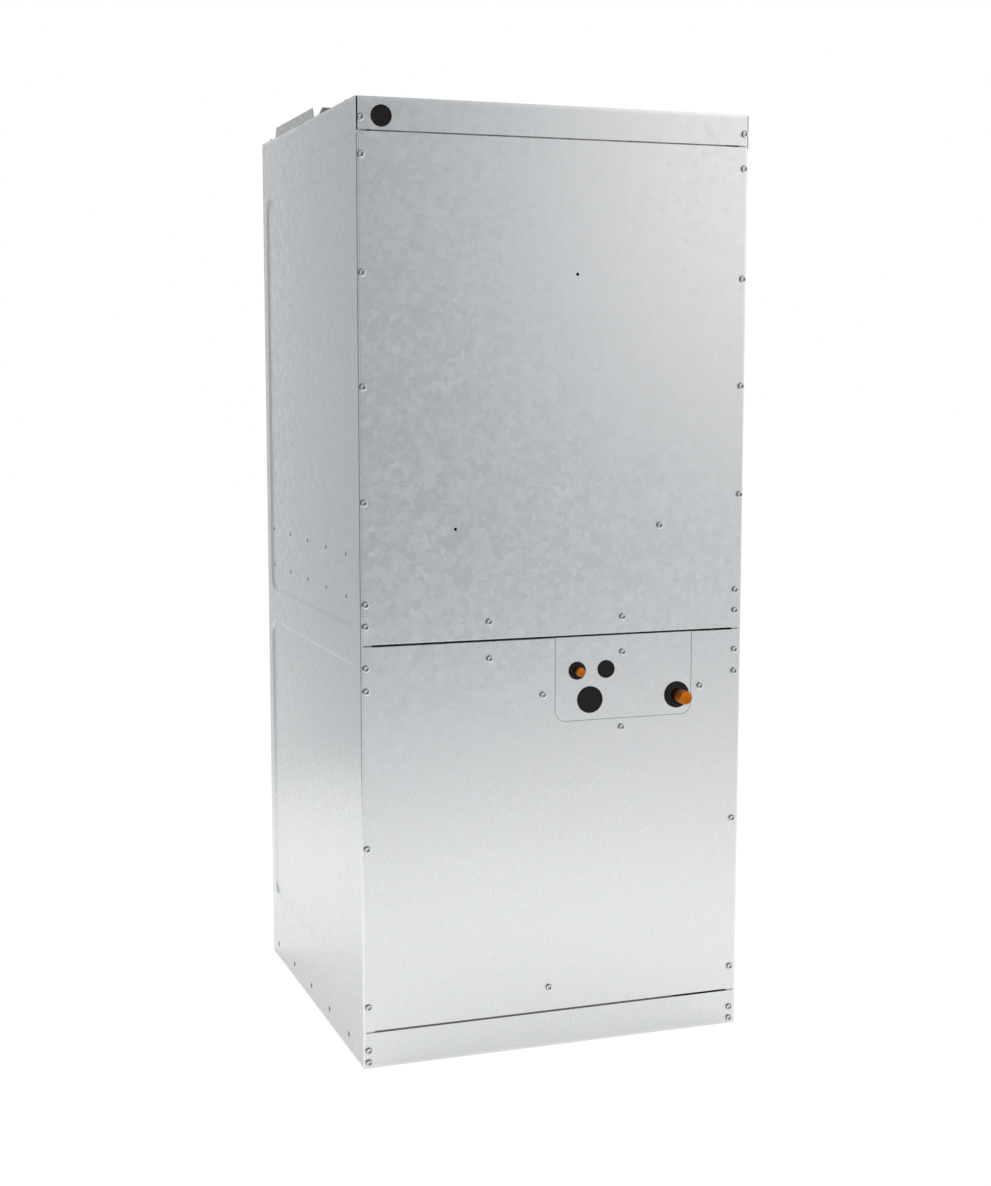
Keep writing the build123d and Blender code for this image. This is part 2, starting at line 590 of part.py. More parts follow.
def blower_deck():
    """The tray that closes the plenum floor, with a tall front wall and the blower's outlet."""
    half = INNER_X - FIT_GAP
    y0 = FRONT_Y + COVER_DEPTH
    y1 = BACK_INNER_Y - FIT_GAP
    rim_top = DECK_HEIGHT + DECK_RIM
    deck = block(-half, half, y0, y1, DECK_HEIGHT, rim_top)
    deck = deck - block(-half + SHEET, half - SHEET, y0, y1 - SHEET, DECK_HEIGHT + SHEET, rim_top)
    deck = deck + block(-half, half, y0, y0 + SHEET, DECK_HEIGHT, UNDER_RETURN - FIT_GAP)
    half_hole = HOUSING_WIDTH / 2
    front = BLOWER_Y + CUTOFF_REACH + SHEET
    back = BLOWER_Y + SCROLL_END - SHEET
    return deck - block(-half_hole, half_hole, front, back, DECK_HEIGHT, rim_top)


def scroll_region(inset, rise):
    """The inside of the blower's scroll in the YZ plane, about the wheel's axis.

    Three quarter-turn arcs follow each other from the top over the front and the bottom to the
    back. Their centres step round a square whose side is the growth, so each radius is larger
    than the one before by that side. The outlet goes straight up from the last one.
    """
    step = HOUSING_GROWTH
    radius = SCROLL_START + step / 2 - inset
    top = radius - step / 2
    start = (-step / 2, top)
    front = (-step / 2 - radius, -step / 2)
    low = (step / 2, -step / 2 - radius - step)
    back = (step / 2 + radius + 2 * step, step / 2)
    arcs = [
        quarter(start, front, (-step / 2, -step / 2), radius),
        quarter(front, low, (step / 2, -step / 2), radius + step),
        quarter(low, back, (step / 2, step / 2), radius + 2 * step),
    ]
    mouth = CUTOFF_REACH + inset
    walls = Polyline([back, (back[0], rise), (mouth, rise), (mouth, top), start])
    return make_face(arcs + [walls])


def quarter(start, end, centre, radius):
    """The quarter-turn arc from start to end about a centre."""
    reach = radius * 0.5 ** 0.5
    toward_x = 1 if start[0] + end[0] > 2 * centre[0] else -1
    toward_y = 1 if start[1] + end[1] > 2 * centre[1] else -1
    return ThreePointArc(start, (centre[0] + toward_x * reach, centre[1] + toward_y * reach), end)


def blower_frame(shape):
    """Place a shape drawn about the wheel's axis, in the YZ plane, at the blower's centre."""
    return Location((0, BLOWER_Y, BLOWER_CENTRE_HEIGHT)) * shape


def blower_wrap():
    """The curved band of the blower housing between its two side plates."""
    band = scroll_region(0, OUTLET_RISE) - scroll_region(SHEET, OUTLET_RISE + SHEET)
    limit = Rectangle(4 * SCROLL_END, 2 * OUTLET_RISE)
    return blower_frame(extrude(Plane.YZ * (band & limit), HOUSING_WIDTH / 2, both=True))


def blower_side_plate(side):
    """One side of the housing: the scroll's outline with a foot and an inlet hole."""
    foot_height = BLOWER_CENTRE_HEIGHT - BAR_TOP
    foot = Location((0, -foot_height / 2)) * Rectangle(BLOWER_FOOT, foot_height)
    region = scroll_region(0, OUTLET_RISE) + foot - Circle(INLET_RADIUS)
    plate = extrude(Plane.YZ * region, SHEET)
    if side > 0:
        return blower_frame(Location((HOUSING_WIDTH / 2, 0, 0)) * plate)
    return blower_frame(Location((-HOUSING_WIDTH / 2 - SHEET, 0, 0)) * plate)


def blower_wheel():
    """A double-inlet wheel: forward-curved blades between two rings, on a middle disc."""
    inner = WHEEL_RADIUS - WHEEL_BLADE_DEPTH
    arc = blade_section(inner)
    turns = [360.0 * n / WHEEL_BLADE_COUNT for n in range(WHEEL_BLADE_COUNT)]
    blades = Sketch() + [Rotation(0, 0, turn) * arc for turn in turns]
    wheel = extrude(blades, (WHEEL_WIDTH - WHEEL_RING) / 2, both=True)
    ring = RegularPolygon(WHEEL_RADIUS, WHEEL_SIDES) - RegularPolygon(inner, WHEEL_SIDES)
    for end in (-1, 1):
        wheel = wheel + Location((0, 0, end * (WHEEL_WIDTH - WHEEL_RING) / 2)) * disc(ring, WHEEL_RING)
    wheel = wheel + disc(RegularPolygon(WHEEL_RADIUS - BLADE_INSET, WHEEL_SIDES), SHEET)
    wheel = wheel + disc(round_section(HUB_RADIUS), HUB_LENGTH)
    wheel = wheel - round_post(SHAFT_RADIUS + RUNNING_GAP, -HUB_LENGTH, HUB_LENGTH)
    return blower_frame(Rotation(0, 90, 0) * wheel)


def disc(section, thickness):
    """A flat disc or ring centred on z = 0."""
    return extrude(section, thickness / 2, both=True)


def blade_section(inner):
    """One blade across its length: a bent strip that leans forward at the rim."""
    rim = WHEEL_RADIUS - 2 * BLADE_INSET
    lean = radians(BLADE_LEAN)
    root = (inner + BLADE_INSET, 0.0)
    bend = (inner + WHEEL_BLADE_DEPTH / 2, -WHEEL_BLADE_DEPTH * tan(lean) / 4)
    tip = (rim * cos(lean / 8), rim * sin(lean / 8))
    line = [root, bend, tip]
    back = [(x, y + BLADE_THICKNESS) for x, y in reversed(line)]
    return make_face(Polyline(line + back, close=True))


def blower_motor():
    """The motor in the right-hand inlet, with its shaft through the wheel's hub."""
    shaft_end = HUB_LENGTH / 2 + MOTOR_BAND
    half_body = bevel_top(round_post(MOTOR_RADIUS, 0, MOTOR_LENGTH / 2), MOTOR_BEVEL)
    body = half_body + mirror(half_body, about=Plane.XY)
    body = Location((0, 0, shaft_end + MOTOR_LENGTH / 2)) * body
    shaft = round_post(SHAFT_RADIUS, -shaft_end, shaft_end)
    return blower_frame(Rotation(0, 90, 0) * (body + shaft))


def motor_bracket():
    """A band round the motor with three arms that stand on the right side plate."""
    plate_face = HOUSING_WIDTH / 2 + SHEET
    band_inner = MOTOR_RADIUS + RUNNING_GAP
    band_outer = band_inner + MOTOR_BAND
    reach = INLET_RADIUS + 2 * MOTOR_ARM_WIDTH
    ring = round_section(band_outer) - round_section(band_inner)
    bracket = Location((0, 0, plate_face)) * extrude(ring, MOTOR_BAND_WIDTH)
    for n in range(MOTOR_ARM_COUNT):
        arm = block(
            band_inner + MOTOR_BAND / 2, reach, -MOTOR_ARM_WIDTH / 2, MOTOR_ARM_WIDTH / 2,
            plate_face, plate_face + MOTOR_BAND,
        )
        bracket = bracket + Rotation(0, 0, 360.0 * n / MOTOR_ARM_COUNT) * arm
    return blower_frame(Rotation(0, 90, 0) * bracket)


def cross_bar(offset):
    """A channel across the support rails that carries the housing's feet."""
    half = LINING_INNER_X - FIT_GAP
    y0 = BLOWER_Y + offset - CROSS_BAR_WIDTH / 2
    y1 = y0 + CROSS_BAR_WIDTH
    bar = block(-half, half, y0, y1, SUPPORT_RAIL_TOP, BAR_TOP)
    return bar - block(-half, half, y0 + SHEET, y1 - SHEET, SUPPORT_RAIL_TOP, BAR_TOP - SHEET)


def drain_pan():
    """A moulded pan on the coil rails, with a rimmed air opening in the middle."""
    half = LINING_INNER_X - PAN_GAP
    y0 = LINING_FRONT_Y
    y1 = PAN_BACK_Y
    z0 = COIL_RAIL_TOP
    pan = block(-half, half, y0, y1, z0, z0 + PAN_HEIGHT)
    pan = pan - block(
        -half + PAN_WALL, half - PAN_WALL, y0 + PAN_WALL, y1 - PAN_WALL, PAN_FLOOR_TOP, z0 + PAN_HEIGHT
    )
    hole = PAN_OPENING_WIDTH / 2
    rim = hole + PAN_WALL
    y2 = y0 + PAN_OPENING_MARGIN
    y3 = y1 - PAN_OPENING_MARGIN
    pan = pan + block(-rim, rim, y2 - PAN_WALL, y3 + PAN_WALL, z0, z0 + PAN_RIM)
    return pan - block(-hole, hole, y2, y3, z0, z0 + PAN_RIM)


def coil_slab(side):
    """One leaning slab of the A-shaped coil, cut level at its foot and upright at the apex."""
    height = COIL_APEX_HEIGHT - PAN_FLOOR_TOP
    slope = COIL_HALF_SPREAD / height
    across = COIL_SLAB * (1 + slope * slope) ** 0.5
    apex = COIL_APEX_GAP / 2
    foot = COIL_HALF_SPREAD + apex
    corners = [
        (foot, PAN_FLOOR_TOP), (foot + across, PAN_FLOOR_TOP),
        (apex, COIL_APEX_HEIGHT + across / slope), (apex, COIL_APEX_HEIGHT),
    ]
    slab = extrude(Plane.XZ * make_face(Polyline(corners, close=True)), COIL_FRONT_Y - COIL_BACK_Y)
    slab = Location((0, COIL_FRONT_Y, 0)) * slab
    level_top = COIL_APEX_HEIGHT + COIL_SLAB / 2
    slab = slab & block(0, HALF_WIDTH, COIL_FRONT_Y, COIL_BACK_Y, PAN_FLOOR_TOP, level_top)
    return slab if side > 0 else mirror(slab, about=Plane.YZ)


def coil_end_plate(front):
    """The triangular sheet that closes the A between the slabs at one end."""
    apex = COIL_APEX_GAP / 2 - FIT_GAP
    foot = COIL_HALF_SPREAD + apex
    corners = [(-foot, PAN_FLOOR_TOP), (foot, PAN_FLOOR_TOP), (apex, COIL_APEX_HEIGHT), (-apex, COIL_APEX_HEIGHT)]
    sheet = extrude(Plane.XZ * make_face(Polyline(corners, close=True)), -SHEET)
    return Location((0, COIL_FRONT_Y if front else COIL_BACK_Y - SHEET, 0)) * sheet


def build():
    """All sub-parts by name."""
    upper = (SUPPORT_RAIL_TOP + FIT_GAP, DECK_HEIGHT - FIT_GAP)
    lower = (COIL_RAIL_TOP + FIT_GAP, SUPPORT_RAIL_BOTTOM - FIT_GAP)
    parts = {
        "left_side_panel": side_panel(-1),
        "right_side_panel": side_panel(1),
        "back_panel": back_panel(),
        "base_left_rail": base_side_rail(-1),
        "base_right_rail": base_side_rail(1),
        "base_front_rail": base_end_rail(RAIL_FACE_Y, 1),
        "base_back_rail": base_end_rail(BACK_INNER_Y, -1),
        "base_front_strip": front_sheet(0, BASE_SEAM - SEAM_GAP / 2),
        "upper_access_panel": upper_access_panel(),
        "lower_access_panel": lower_access_panel(),
        "connection_plate": connection_plate(),
        "top_front_cover": top_front_cover(),
        "wiring_channel": wiring_channel(),
        "wiring_plug": grommet(WIRING_PLUG_PLACE, WIRING_PLUG_RADIUS, 0),
        "supply_frame": supply_frame(),
        "middle_front_rail": middle_front_rail(),
        "coil_front_rail": coil_front_rail(),
        "coil_back_rail": coil_back_rail(),
        "left_support_rail": support_rail(-1),
        "right_support_rail": support_rail(1),
        "upper_left_lining": side_lining(-1, *upper),
        "upper_right_lining": side_lining(1, *upper),
        "lower_left_lining": side_lining(-1, *lower),
        "lower_right_lining": side_lining(1, *lower),
        "back_lining": back_lining(),
        "blower_deck": blower_deck(),
        "blower_wrap": blower_wrap(),
        "blower_left_plate": blower_side_plate(-1),
        "blower_right_plate": blower_side_plate(1),
        "blower_wheel": blower_wheel(),
        "blower_motor": blower_motor(),
        "motor_bracket": motor_bracket(),
        "front_cross_bar": cross_bar(-CROSS_BAR_OFFSET),
        "back_cross_bar": cross_bar(CROSS_BAR_OFFSET),
        "drain_pan": drain_pan(),
        "left_coil_slab": coil_slab(-1),
        "right_coil_slab": coil_slab(1),
        "front_coil_plate": coil_end_plate(True),
        "back_coil_plate": coil_end_plate(False),
        "liquid_line_stub": copper_stub(LIQUID_PLACE, LIQUID_RADIUS, LIQUID_REACH),
        "suction_line_stub": copper_stub(SUCTION_PLACE, SUCTION_RADIUS, SUCTION_REACH),
    }
    for name, (place, radius) in PORTS.items():
        parts[name] = grommet(place, radius, PORT_BORES.get(name, 0))
    return parts


os.makedirs("parts", exist_ok=True)
for name, shape in build().items():
    export_step(shape, f"parts/{name}.step")
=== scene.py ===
"""Indoor air handler cabinet: finishes, screws, rubber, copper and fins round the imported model.

Metres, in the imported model's own frame: +Z is up and the front faces -Y.
"""
import json

import bpy
import numpy as np
from mathutils import Euler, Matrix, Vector


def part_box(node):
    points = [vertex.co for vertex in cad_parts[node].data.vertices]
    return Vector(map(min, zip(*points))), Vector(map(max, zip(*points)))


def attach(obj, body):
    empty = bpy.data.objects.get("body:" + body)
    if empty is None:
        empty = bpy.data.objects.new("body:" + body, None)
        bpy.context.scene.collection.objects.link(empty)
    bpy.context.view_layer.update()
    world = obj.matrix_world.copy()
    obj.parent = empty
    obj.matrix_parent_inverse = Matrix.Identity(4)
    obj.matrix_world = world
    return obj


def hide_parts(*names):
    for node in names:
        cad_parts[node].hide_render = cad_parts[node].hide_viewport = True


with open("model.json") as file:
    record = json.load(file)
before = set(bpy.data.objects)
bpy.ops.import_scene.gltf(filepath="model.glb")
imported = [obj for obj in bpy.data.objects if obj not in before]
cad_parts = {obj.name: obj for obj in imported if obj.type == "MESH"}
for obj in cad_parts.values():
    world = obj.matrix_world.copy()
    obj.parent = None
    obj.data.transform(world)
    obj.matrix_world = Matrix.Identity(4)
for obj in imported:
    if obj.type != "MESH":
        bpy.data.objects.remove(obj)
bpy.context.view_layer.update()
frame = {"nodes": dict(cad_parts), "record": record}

MM = 0.001
TURN = 2 * np.pi
WHITE = (1.0, 1.0, 1.0, 1.0)
HALF = (0.5, 0.5, 0.5)

# Corners sharper than this angle, in radians, stay sharp
SHARP_ANGLE = 0.6

# Each side of the cabinet as one faces it: right, up and outward
FRONT = np.array([[1, 0, 0], [0, 0, 1], [0, -1, 0]], float)
LEFT = np.array([[0, -1, 0], [0, 0, 1], [-1, 0, 0]], float)
RIGHT = np.array([[0, 1, 0], [0, 0, 1], [1, 0, 0]], float)
TOP = np.array([[1, 0, 0], [0, 1, 0], [0, 0, 1]], float)

# Faces that screws, buttons and rubber stand on, and how deep the sides' pressed fields lie
FRONT_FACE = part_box("upper_access_panel")[0].y
SIDE_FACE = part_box("right_side_panel")[1].x
TOP_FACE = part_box("top_front_cover")[1].z
FIELD_DEPTH = 2.0 * MM
CABINET_MIDDLE = (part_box("right_side_panel")[0].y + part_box("right_side_panel")[1].y) / 2

# Painted shade on turned pieces: a recess is painted darker, and the lower right of a rim gets a painted
# highlight
LIT_DIRECTION = -np.pi / 4

# Hex washer screw with a dished head; its painted shades and painted-light shares run from the washer's edge
# to the dish
SCREW_FLATS = 7.9 * MM
SCREW_WASHER = 5.3 * MM
SCREW_WASHER_TOP = 0.9 * MM
SCREW_HEAD = 3.4 * MM
SCREW_DISH = 1.2 * MM
SCREW_COLUMNS = 24
SCREW_SHADES = [0.8, 0.45, 0.3, 0.95, 1.0, 0.95, 0.35, 0.0, 0.6, 1.0, 0.9]
SCREW_LIT = [0.5, 1.0, 1.0, 0.9, 0.9, 1.0, 1.0, 0.0, -0.8, -0.7, -0.5]

# Screws on the front as (x, z) in mm; both edge columns share their heights
EDGE_SCREW_HEIGHTS = [
    1268.3, 1221.5, 1071.0, 923.3, 771.5, 636.3, 607.0, 551.0, 520.0, 305.5, 85.6, 24.7, 8.0,
]
LOWER_PANEL_TOP = 640.0
LEFT_COLUMN = {"upper": -274.0, "lower": -272.7}
RIGHT_COLUMN = {"upper": 274.0, "lower": 269.5}
MIDDLE_SCREWS = [
    (151.5, 731.3), (-99.5, 606.5), (96.5, 605.3), (-99.0, 556.1), (96.9, 555.8),
    (-21.2, 501.7), (216.1, 501.5), (96.0, 449.9), (-11.2, 85.3),
]

# Screws on the top: inset from the sides, and their depths in mm
TOP_SCREW_INSET = 7.0 * MM
TOP_SCREW_DEPTHS = [-200.0, -60.0, 60.0, 250.0]

# Clinched buttons on both sides: depth of the first, pitch, and the rows' heights, in mm
BUTTON_FIRST = -185.5
BUTTON_PITCH = 110.0
BUTTON_COUNT = 5
FIELD_BUTTON_ROWS = [697.0, 640.0]
FOOT_BUTTON_ROW = 22.0
BUTTON_RADIUS = 3.4 * MM
BUTTON_SEAT = 1.5 * MM
BUTTON_COLUMNS = 20
# Painted shade in the buttons' dishes by row, and a painted highlight on the lower right of their rims
FIELD_BUTTON_SHADES = [0.9, 0.9, 0.8, 0.5, 0.3, 0.75, 1.0, 0.95, 0.9]
FOOT_BUTTON_SHADES = [0.95, 0.95, 0.95, 0.9, 0.85, 1.0, 1.0, 1.0, 1.0]
FIELD_BUTTON_LIT = 0.9
FOOT_BUTTON_LIT = 0.2

# Rubber: how far a plug or grommet stands out, how deep it goes in, and its neck in the sheet
RUBBER_STAND = 3.0 * MM
RUBBER_DEPTH = 3.0 * MM
RUBBER_BACK = 2.6 * MM
RUBBER_NECK = 3.1 * MM
ROUND_COLUMNS = 64

# Copper stubs: a closed cup over the end of a tube that runs inside, clear of its grommet by a gap
CUP_STEP = 0.3 * MM
CUP_STAND = 3.5 * MM
CUP_FLOOR = 1.3 * MM
COPPER_WALL = 1.1 * MM
LIQUID_RADIUS = 6.35 * MM
SUCTION_RADIUS = 9.525 * MM
RUNNING_GAP = 0.1 * MM
# Painted shade on each stub's rows: full inside it and along the tube to the cup, faint on the cup's side and
# face
STUB_SHADES = [1.0, 1.0, 1.0, 1.0, 1.0, 1.0, 1.0, 0.3, 0.1, 0.0, 0.0, 0.2, 0.1, 0.05]

# Coil: two leaning slabs of fins with three rows of tubes between end sheets
COIL_SLAB = 62.0 * MM
COIL_SPREAD = 158.0 * MM
COIL_FLOOR = 103.0 * MM
COIL_APEX = 525.0 * MM
COIL_APEX_GAP = 2.0 * MM
FIN_PITCH = 2.2 * MM
FIN_THICKNESS = 0.3 * MM
TUBE_RADIUS = 4.8 * MM
TUBE_ROWS = 3
TUBES_PER_ROW = 16
TUBE_SPACING = 25.4 * MM
TUBE_COLUMNS = 12
END_SHEET = 1.2 * MM

# In the pairs below, a smooth step starts at the first number and is complete at the second.

# Zinc spangle: the heights between which it clears, and the share of it that shows at the foot
CLEAR_HEIGHT = (0.15, 0.8)
FOOT_CLEARNESS = 0.15
# Its crystals: how they are warped, which of them are flakes, and the cloud over many of them.
# Densities are multiples of the crystals' own.
WARP_DENSITY = 0.9
WARP_REACH = 1.2
CRYSTAL_SOFTNESS = 0.35
FLAKE_RANGE = (0.72, 0.9)
FLAKE_GAIN = 0.55
CLOUD_DENSITY = 0.35
CLOUD_GAIN = 0.8
# Its grain and its streaks, which are twenty times longer than wide
GRAIN_DENSITY = 30.0
GRAIN_GAIN = 0.12
STREAK_DENSITY = 2.0
STREAK_SHAPE = (1.0, 1.0, 0.05)
STREAK_GAIN = 1.5
TONE_ROUGHNESS = 0.12
# A fold is a level one where its normal's X times Y is small
LEVEL_FOLD = (0.25, 0.05)

# Rubbed edges, with a painted highlight: their width, the scale of its patches, how much lighter the painted
# highlight makes them, and how much less rough they are
EDGE_REACH = 5.0 * MM
EDGE_PATCHES = 60.0
EDGE_HIGHLIGHT_GAIN = 0.14
EDGE_POLISH = -0.08

# Seams: which way their laps face, how far behind the panels and how far from the middle their
# shade sets in, how it varies, and how dark it is
LAP_FACING = (-0.6, -0.9)
LAP_DEPTH = (0.4 * MM, 0.9 * MM)
LAP_REACH = (276.5 * MM, 275.5 * MM)
SEAM_PATCHES = 45.0
SEAM_VARIATION = 0.9
SEAM_LEAST = 0.42
SEAM_DARKNESS = -0.7

# The three zincs: sheet outside, sheet inside, and the supply frame, duller and darker than the sheet as
# painted shade
ZINCS = {
    "galvanised_steel": {
        "colour": (0.775, 0.788, 0.8), "rough": 0.28, "crystal": 8.5 * MM, "contrast": 0.022, "tilt": 0.0122,
    },
    "galvanised_inner": {
        "colour": (0.66, 0.68, 0.69), "rough": 0.38, "crystal": 10.0 * MM, "contrast": 0.06, "tilt": 0.03,
    },
    "supply_frame": {
        "colour": (0.62, 0.63, 0.64), "rough": 0.32, "crystal": 8.5 * MM, "contrast": 0.03, "tilt": 0.015,
    },
}

# Colours of the other finishes, and how much darker the painted shade makes screws and stubs in their
# recesses
ZINC_PLATE_COLOUR = (0.95, 0.96, 0.97)
RUBBER_COLOUR = (0.011, 0.009, 0.009)
COPPER_COLOUR = (0.64, 0.175, 0.012)
LINING_COLOUR = (0.032, 0.032, 0.033)
FIN_COLOUR = (0.8, 0.81, 0.82)
PAN_COLOUR = (0.035, 0.035, 0.038)
MOTOR_COLOUR = (0.03, 0.03, 0.033)
SCREW_DARKNESS = -0.72
STUB_DARKNESS = -0.8
# How much lighter the pan's rubbed edges are painted, as a highlight
PAN_EDGE_HIGHLIGHT_GAIN = 1.2

# Studio: a white floor, and round the cabinet a grey screen that only reflections see.
# Directions are in degrees: 0 is straight ahead of the front, 90 the right side, -90 the left side.
FLOOR_RADIUS = 12.0
FLOOR_SEEN_EVENNESS = 0.9
FLOOR_MIRRORED_EVENNESS = 0.3
FLOOR_PAINT = (0.9, 0.9, 0.9)
FLOOR_GLOW = 1.06
# A painted pool of light on the floor that all but the camera see, and a painted shadow under the cabinet's
# footprint
FLOOR_FADE = (1.9, 0.8)
FLOOR_NEAR_LEVEL = 0.91
FLOOR_FAR_LEVEL = 0.76
FOOTPRINT_EDGE = (250.0 * MM, 279.0 * MM)
FOOTPRINT_SHADOW_LEVEL = 0.12
SCREEN_COLUMNS = 96
SCREEN_RADIUS = 1.85
SCREEN_HEIGHT = 2.6
SCREEN_GREY = 0.47
SCREEN_COOL = (0.945, 0.985, 1.0, 1.0)
SCREEN_WHITE = (0.985, 0.98, 0.982, 1.0)
WHITE_LEVEL = (0.5, 0.85)
SOFT_SIDE = (2.0, 36.0)
SOFT_END = (120.0, 65.0)
SOFT_SIDE_GAIN = 0.18
SOFT_HEIGHT = (0.35, 1.45)
SOFT_TOP_GAIN = 0.46
FOOT_HEIGHT = 0.5
FOOT_GAIN = 0.27
FOOT_SPREAD = (110.0, 60.0)
FOOT_BEHIND_SHARE = 0.35
DARK_DIRECTION = -70.0
DARK_EDGE = (42.0, 26.0)
DARK_LEVEL = 0.2
CANOPY_HEIGHT = (2.2, 2.6)
CANOPY_LEVEL = 0.3
BACKDROP_DIRECTION = 160.0
BACKDROP_EDGE = (45.0, 34.0)
BACKDROP_GAIN = 0.5
WORLD_LEVEL = 0.8

# Soft lights: place, aim, width of the square, and power in watts
SOFT_LIGHTS = {
    "right_softbox": ((3.0, -2.6, 2.0), (0.0, 0.0, 0.9), 2.4, 50.0),
    "top_softbox": ((0.0, 0.0, 3.6), (0.0, 0.0, 0.0), 3.0, 75.0),
    "left_softbox": ((-3.2, 0.8, 1.8), (-0.6, 0.0, 0.0), 2.0, 22.0),
}

# The photograph's camera: focal length in mm, place, and turn in degrees
CAMERA_LENS = 56.54
CAMERA_PLACE = (-0.9205, -2.629, 0.944)
CAMERA_TURN = (83.211, 0.0, -19.346)


# Mesh helpers

def add_piece(name, points, faces, slot, replaced=(), painted_shade=None):
    """One smooth mesh with sharp corners that rides on the cabinet.

    The last argument gives each point's share of painted shade, 0 in the open and 1 where no light gets in.
    """
    mesh = bpy.data.meshes.new(name)
    mesh.from_pydata(points, [], faces)
    mesh.update()
    mesh.polygons.foreach_set("use_smooth", np.ones(len(mesh.polygons), bool))
    mesh.set_sharp_from_angle(angle=SHARP_ANGLE)
    if painted_shade is not None:
        mesh.attributes.new("painted_shade", "FLOAT", "POINT").data.foreach_set("value", painted_shade)
    piece = bpy.data.objects.new(name, mesh)
    bpy.context.scene.collection.objects.link(piece)
    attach(piece, "root")
    if replaced:
        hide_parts(*replaced)
    return piece


def quads_between(rows, columns, closed):
    """Quads between neighbouring rows of a turned surface, each row joined to its own start."""
    row = np.arange(rows if closed else rows - 1)[:, None]
    column = np.arange(columns)[None, :]
    after = (column + 1) % columns
    above = (row + 1) % rows
    near, far = row * columns, above * columns
    return np.stack([near + column, near + after, far + after, far + column], axis=-1).reshape(-1, 4)


def turned(profile, columns, factor=None, closed=False):
    """A profile of (radius, height) rows turned about the outward axis.

    Point (i, j) is (r_i f_ij cos t_j, r_i f_ij sin t_j, h_i), with t_j evenly spaced round a turn and
    f_ij equal to 1 on a round row. An open profile gets a flat face at its first and last rows.
    """
    radius, height = np.asarray(profile, float).T
    angle = TURN * np.arange(columns) / columns
    reach = radius[:, None] * (np.ones((len(radius), columns)) if factor is None else factor)
    level = np.repeat(height[:, None], columns, axis=1)
    points = np.stack([reach * np.cos(angle), reach * np.sin(angle), level], axis=-1).reshape(-1, 3)
    faces = quads_between(len(radius), columns, closed).tolist()
    if not closed:
        last = (len(radius) - 1) * columns
        faces.append(list(range(columns))[::-1])
        faces.append(list(range(last, last + columns)))
    return points, faces


def repeated(shape, places):
    """One shape, drawn as right, up and outward, laid at each (side, centre) as a single mesh."""
    points, faces = shape
    count = len(points)
    all_points = np.concatenate([points @ side + np.asarray(centre, float) for side, centre in places])
    all_faces = [[corner + n * count for corner in face] for n in range(len(places)) for face in faces]
    return all_points, all_faces


def prisms(outline, starts, thickness):
    """Flat plates of one outline in the XZ plane, stacked along Y.

    Point (n, i, s) is (x_i, y_n + s thickness, z_i), with s = 0 on the front face and 1 on the back.
    """
    x, z = np.asarray(outline, float).T
    count = len(x)
    depth = np.asarray(starts)[:, None, None] + thickness * np.arange(2)[None, :, None]
    shape = (len(starts), 2, count)
    points = np.stack([np.broadcast_to(values, shape) for values in (x, depth, z)], axis=-1)
    corner = np.arange(count)
    after = (corner + 1) % count
    sides = np.stack([corner, corner + count, after + count, after], axis=-1).tolist()
    plate = [list(range(count)), list(range(count, 2 * count))[::-1]] + sides
    faces = [[index + 2 * count * n for index in face] for n in range(len(starts)) for face in plate]
    return points.reshape(-1, 3), faces


def shades(row_shades, row_lit, columns, count):
    """The painted shade of every point of a repeated turned shape, from two values a row.

    Point (i, j) has s_i (1 - max(0, c_i cos(t_j - a))), with a the lit direction. A row's lit share c_i
    lightens its side toward that direction as painted light, or where it is below zero the side away from it.
    """
    angle = TURN * np.arange(columns) / columns
    share = np.broadcast_to(row_lit, len(row_shades))
    lit = np.clip(np.outer(share, np.cos(angle - LIT_DIRECTION)), 0.0, 1.0)
    return np.tile((np.asarray(row_shades)[:, None] * (1 - lit)).ravel(), count)


# Screws

def screw_shape():
    """A hex washer head: a domed washer, a bevelled hexagon and a dished top.

    On the head's rows the radius at angle t is a / cos(((t + 30) mod 60) - 30) in degrees, with a half
    the width across the flats.
    """
    half = SCREW_FLATS / 2
    washer = [
        (SCREW_WASHER, 0.0),
        (SCREW_WASHER, 0.45 * MM),
        (SCREW_WASHER - 0.4 * MM, 0.75 * MM),
        (half + 0.65 * MM, SCREW_WASHER_TOP),
    ]
    head = [
        (half, SCREW_WASHER_TOP),
        (half, SCREW_HEAD - 0.5 * MM),
        (half - 0.3 * MM, SCREW_HEAD - 0.1 * MM),
    ]
    dish = [
        (half - 0.7 * MM, SCREW_HEAD),
        (half - 1.1 * MM, SCREW_HEAD),
        (half - 1.5 * MM, SCREW_HEAD - 0.75 * SCREW_DISH),
        (half - 2.6 * MM, SCREW_HEAD - SCREW_DISH),
    ]
    angle = TURN * np.arange(SCREW_COLUMNS) / SCREW_COLUMNS
    hexagon = 1 / np.cos((angle + TURN / 12) % (TURN / 6) - TURN / 12)
    factor = np.ones((len(washer + head + dish), SCREW_COLUMNS))
    factor[len(washer):len(washer) + len(head)] = hexagon
    return turned(washer + head + dish, SCREW_COLUMNS, factor)


def front_screws():
    """The screws of the front: two edge columns, and those in between."""
    places = list(MIDDLE_SCREWS)
    for height in EDGE_SCREW_HEIGHTS:
        part = "upper" if height > LOWER_PANEL_TOP else "lower"
        places += [(LEFT_COLUMN[part], height), (RIGHT_COLUMN[part], height)]
    return screws("front_screws", [(FRONT, (x * MM, FRONT_FACE, z * MM)) for x, z in places])


def top_screws():
    """The screws that hold the cover and the supply frame down on the side panels' top folds."""
    across = SIDE_FACE - TOP_SCREW_INSET
    places = [(side * across, depth * MM, TOP_FACE) for side in (-1, 1) for depth in TOP_SCREW_DEPTHS]
    return screws("top_screws", [(TOP, place) for place in places])


def screws(name, frames):
    """Screws at some frames, as one mesh."""
    # Painted shade in the heads' recesses, lightened on their lit sides as a painted highlight
    painted_shade = shades(SCREW_SHADES, SCREW_LIT, SCREW_COLUMNS, len(frames))
    return add_piece(name, *repeated(screw_shape(), frames), "galvanised_steel", painted_shade=painted_shade)


# Clinched buttons

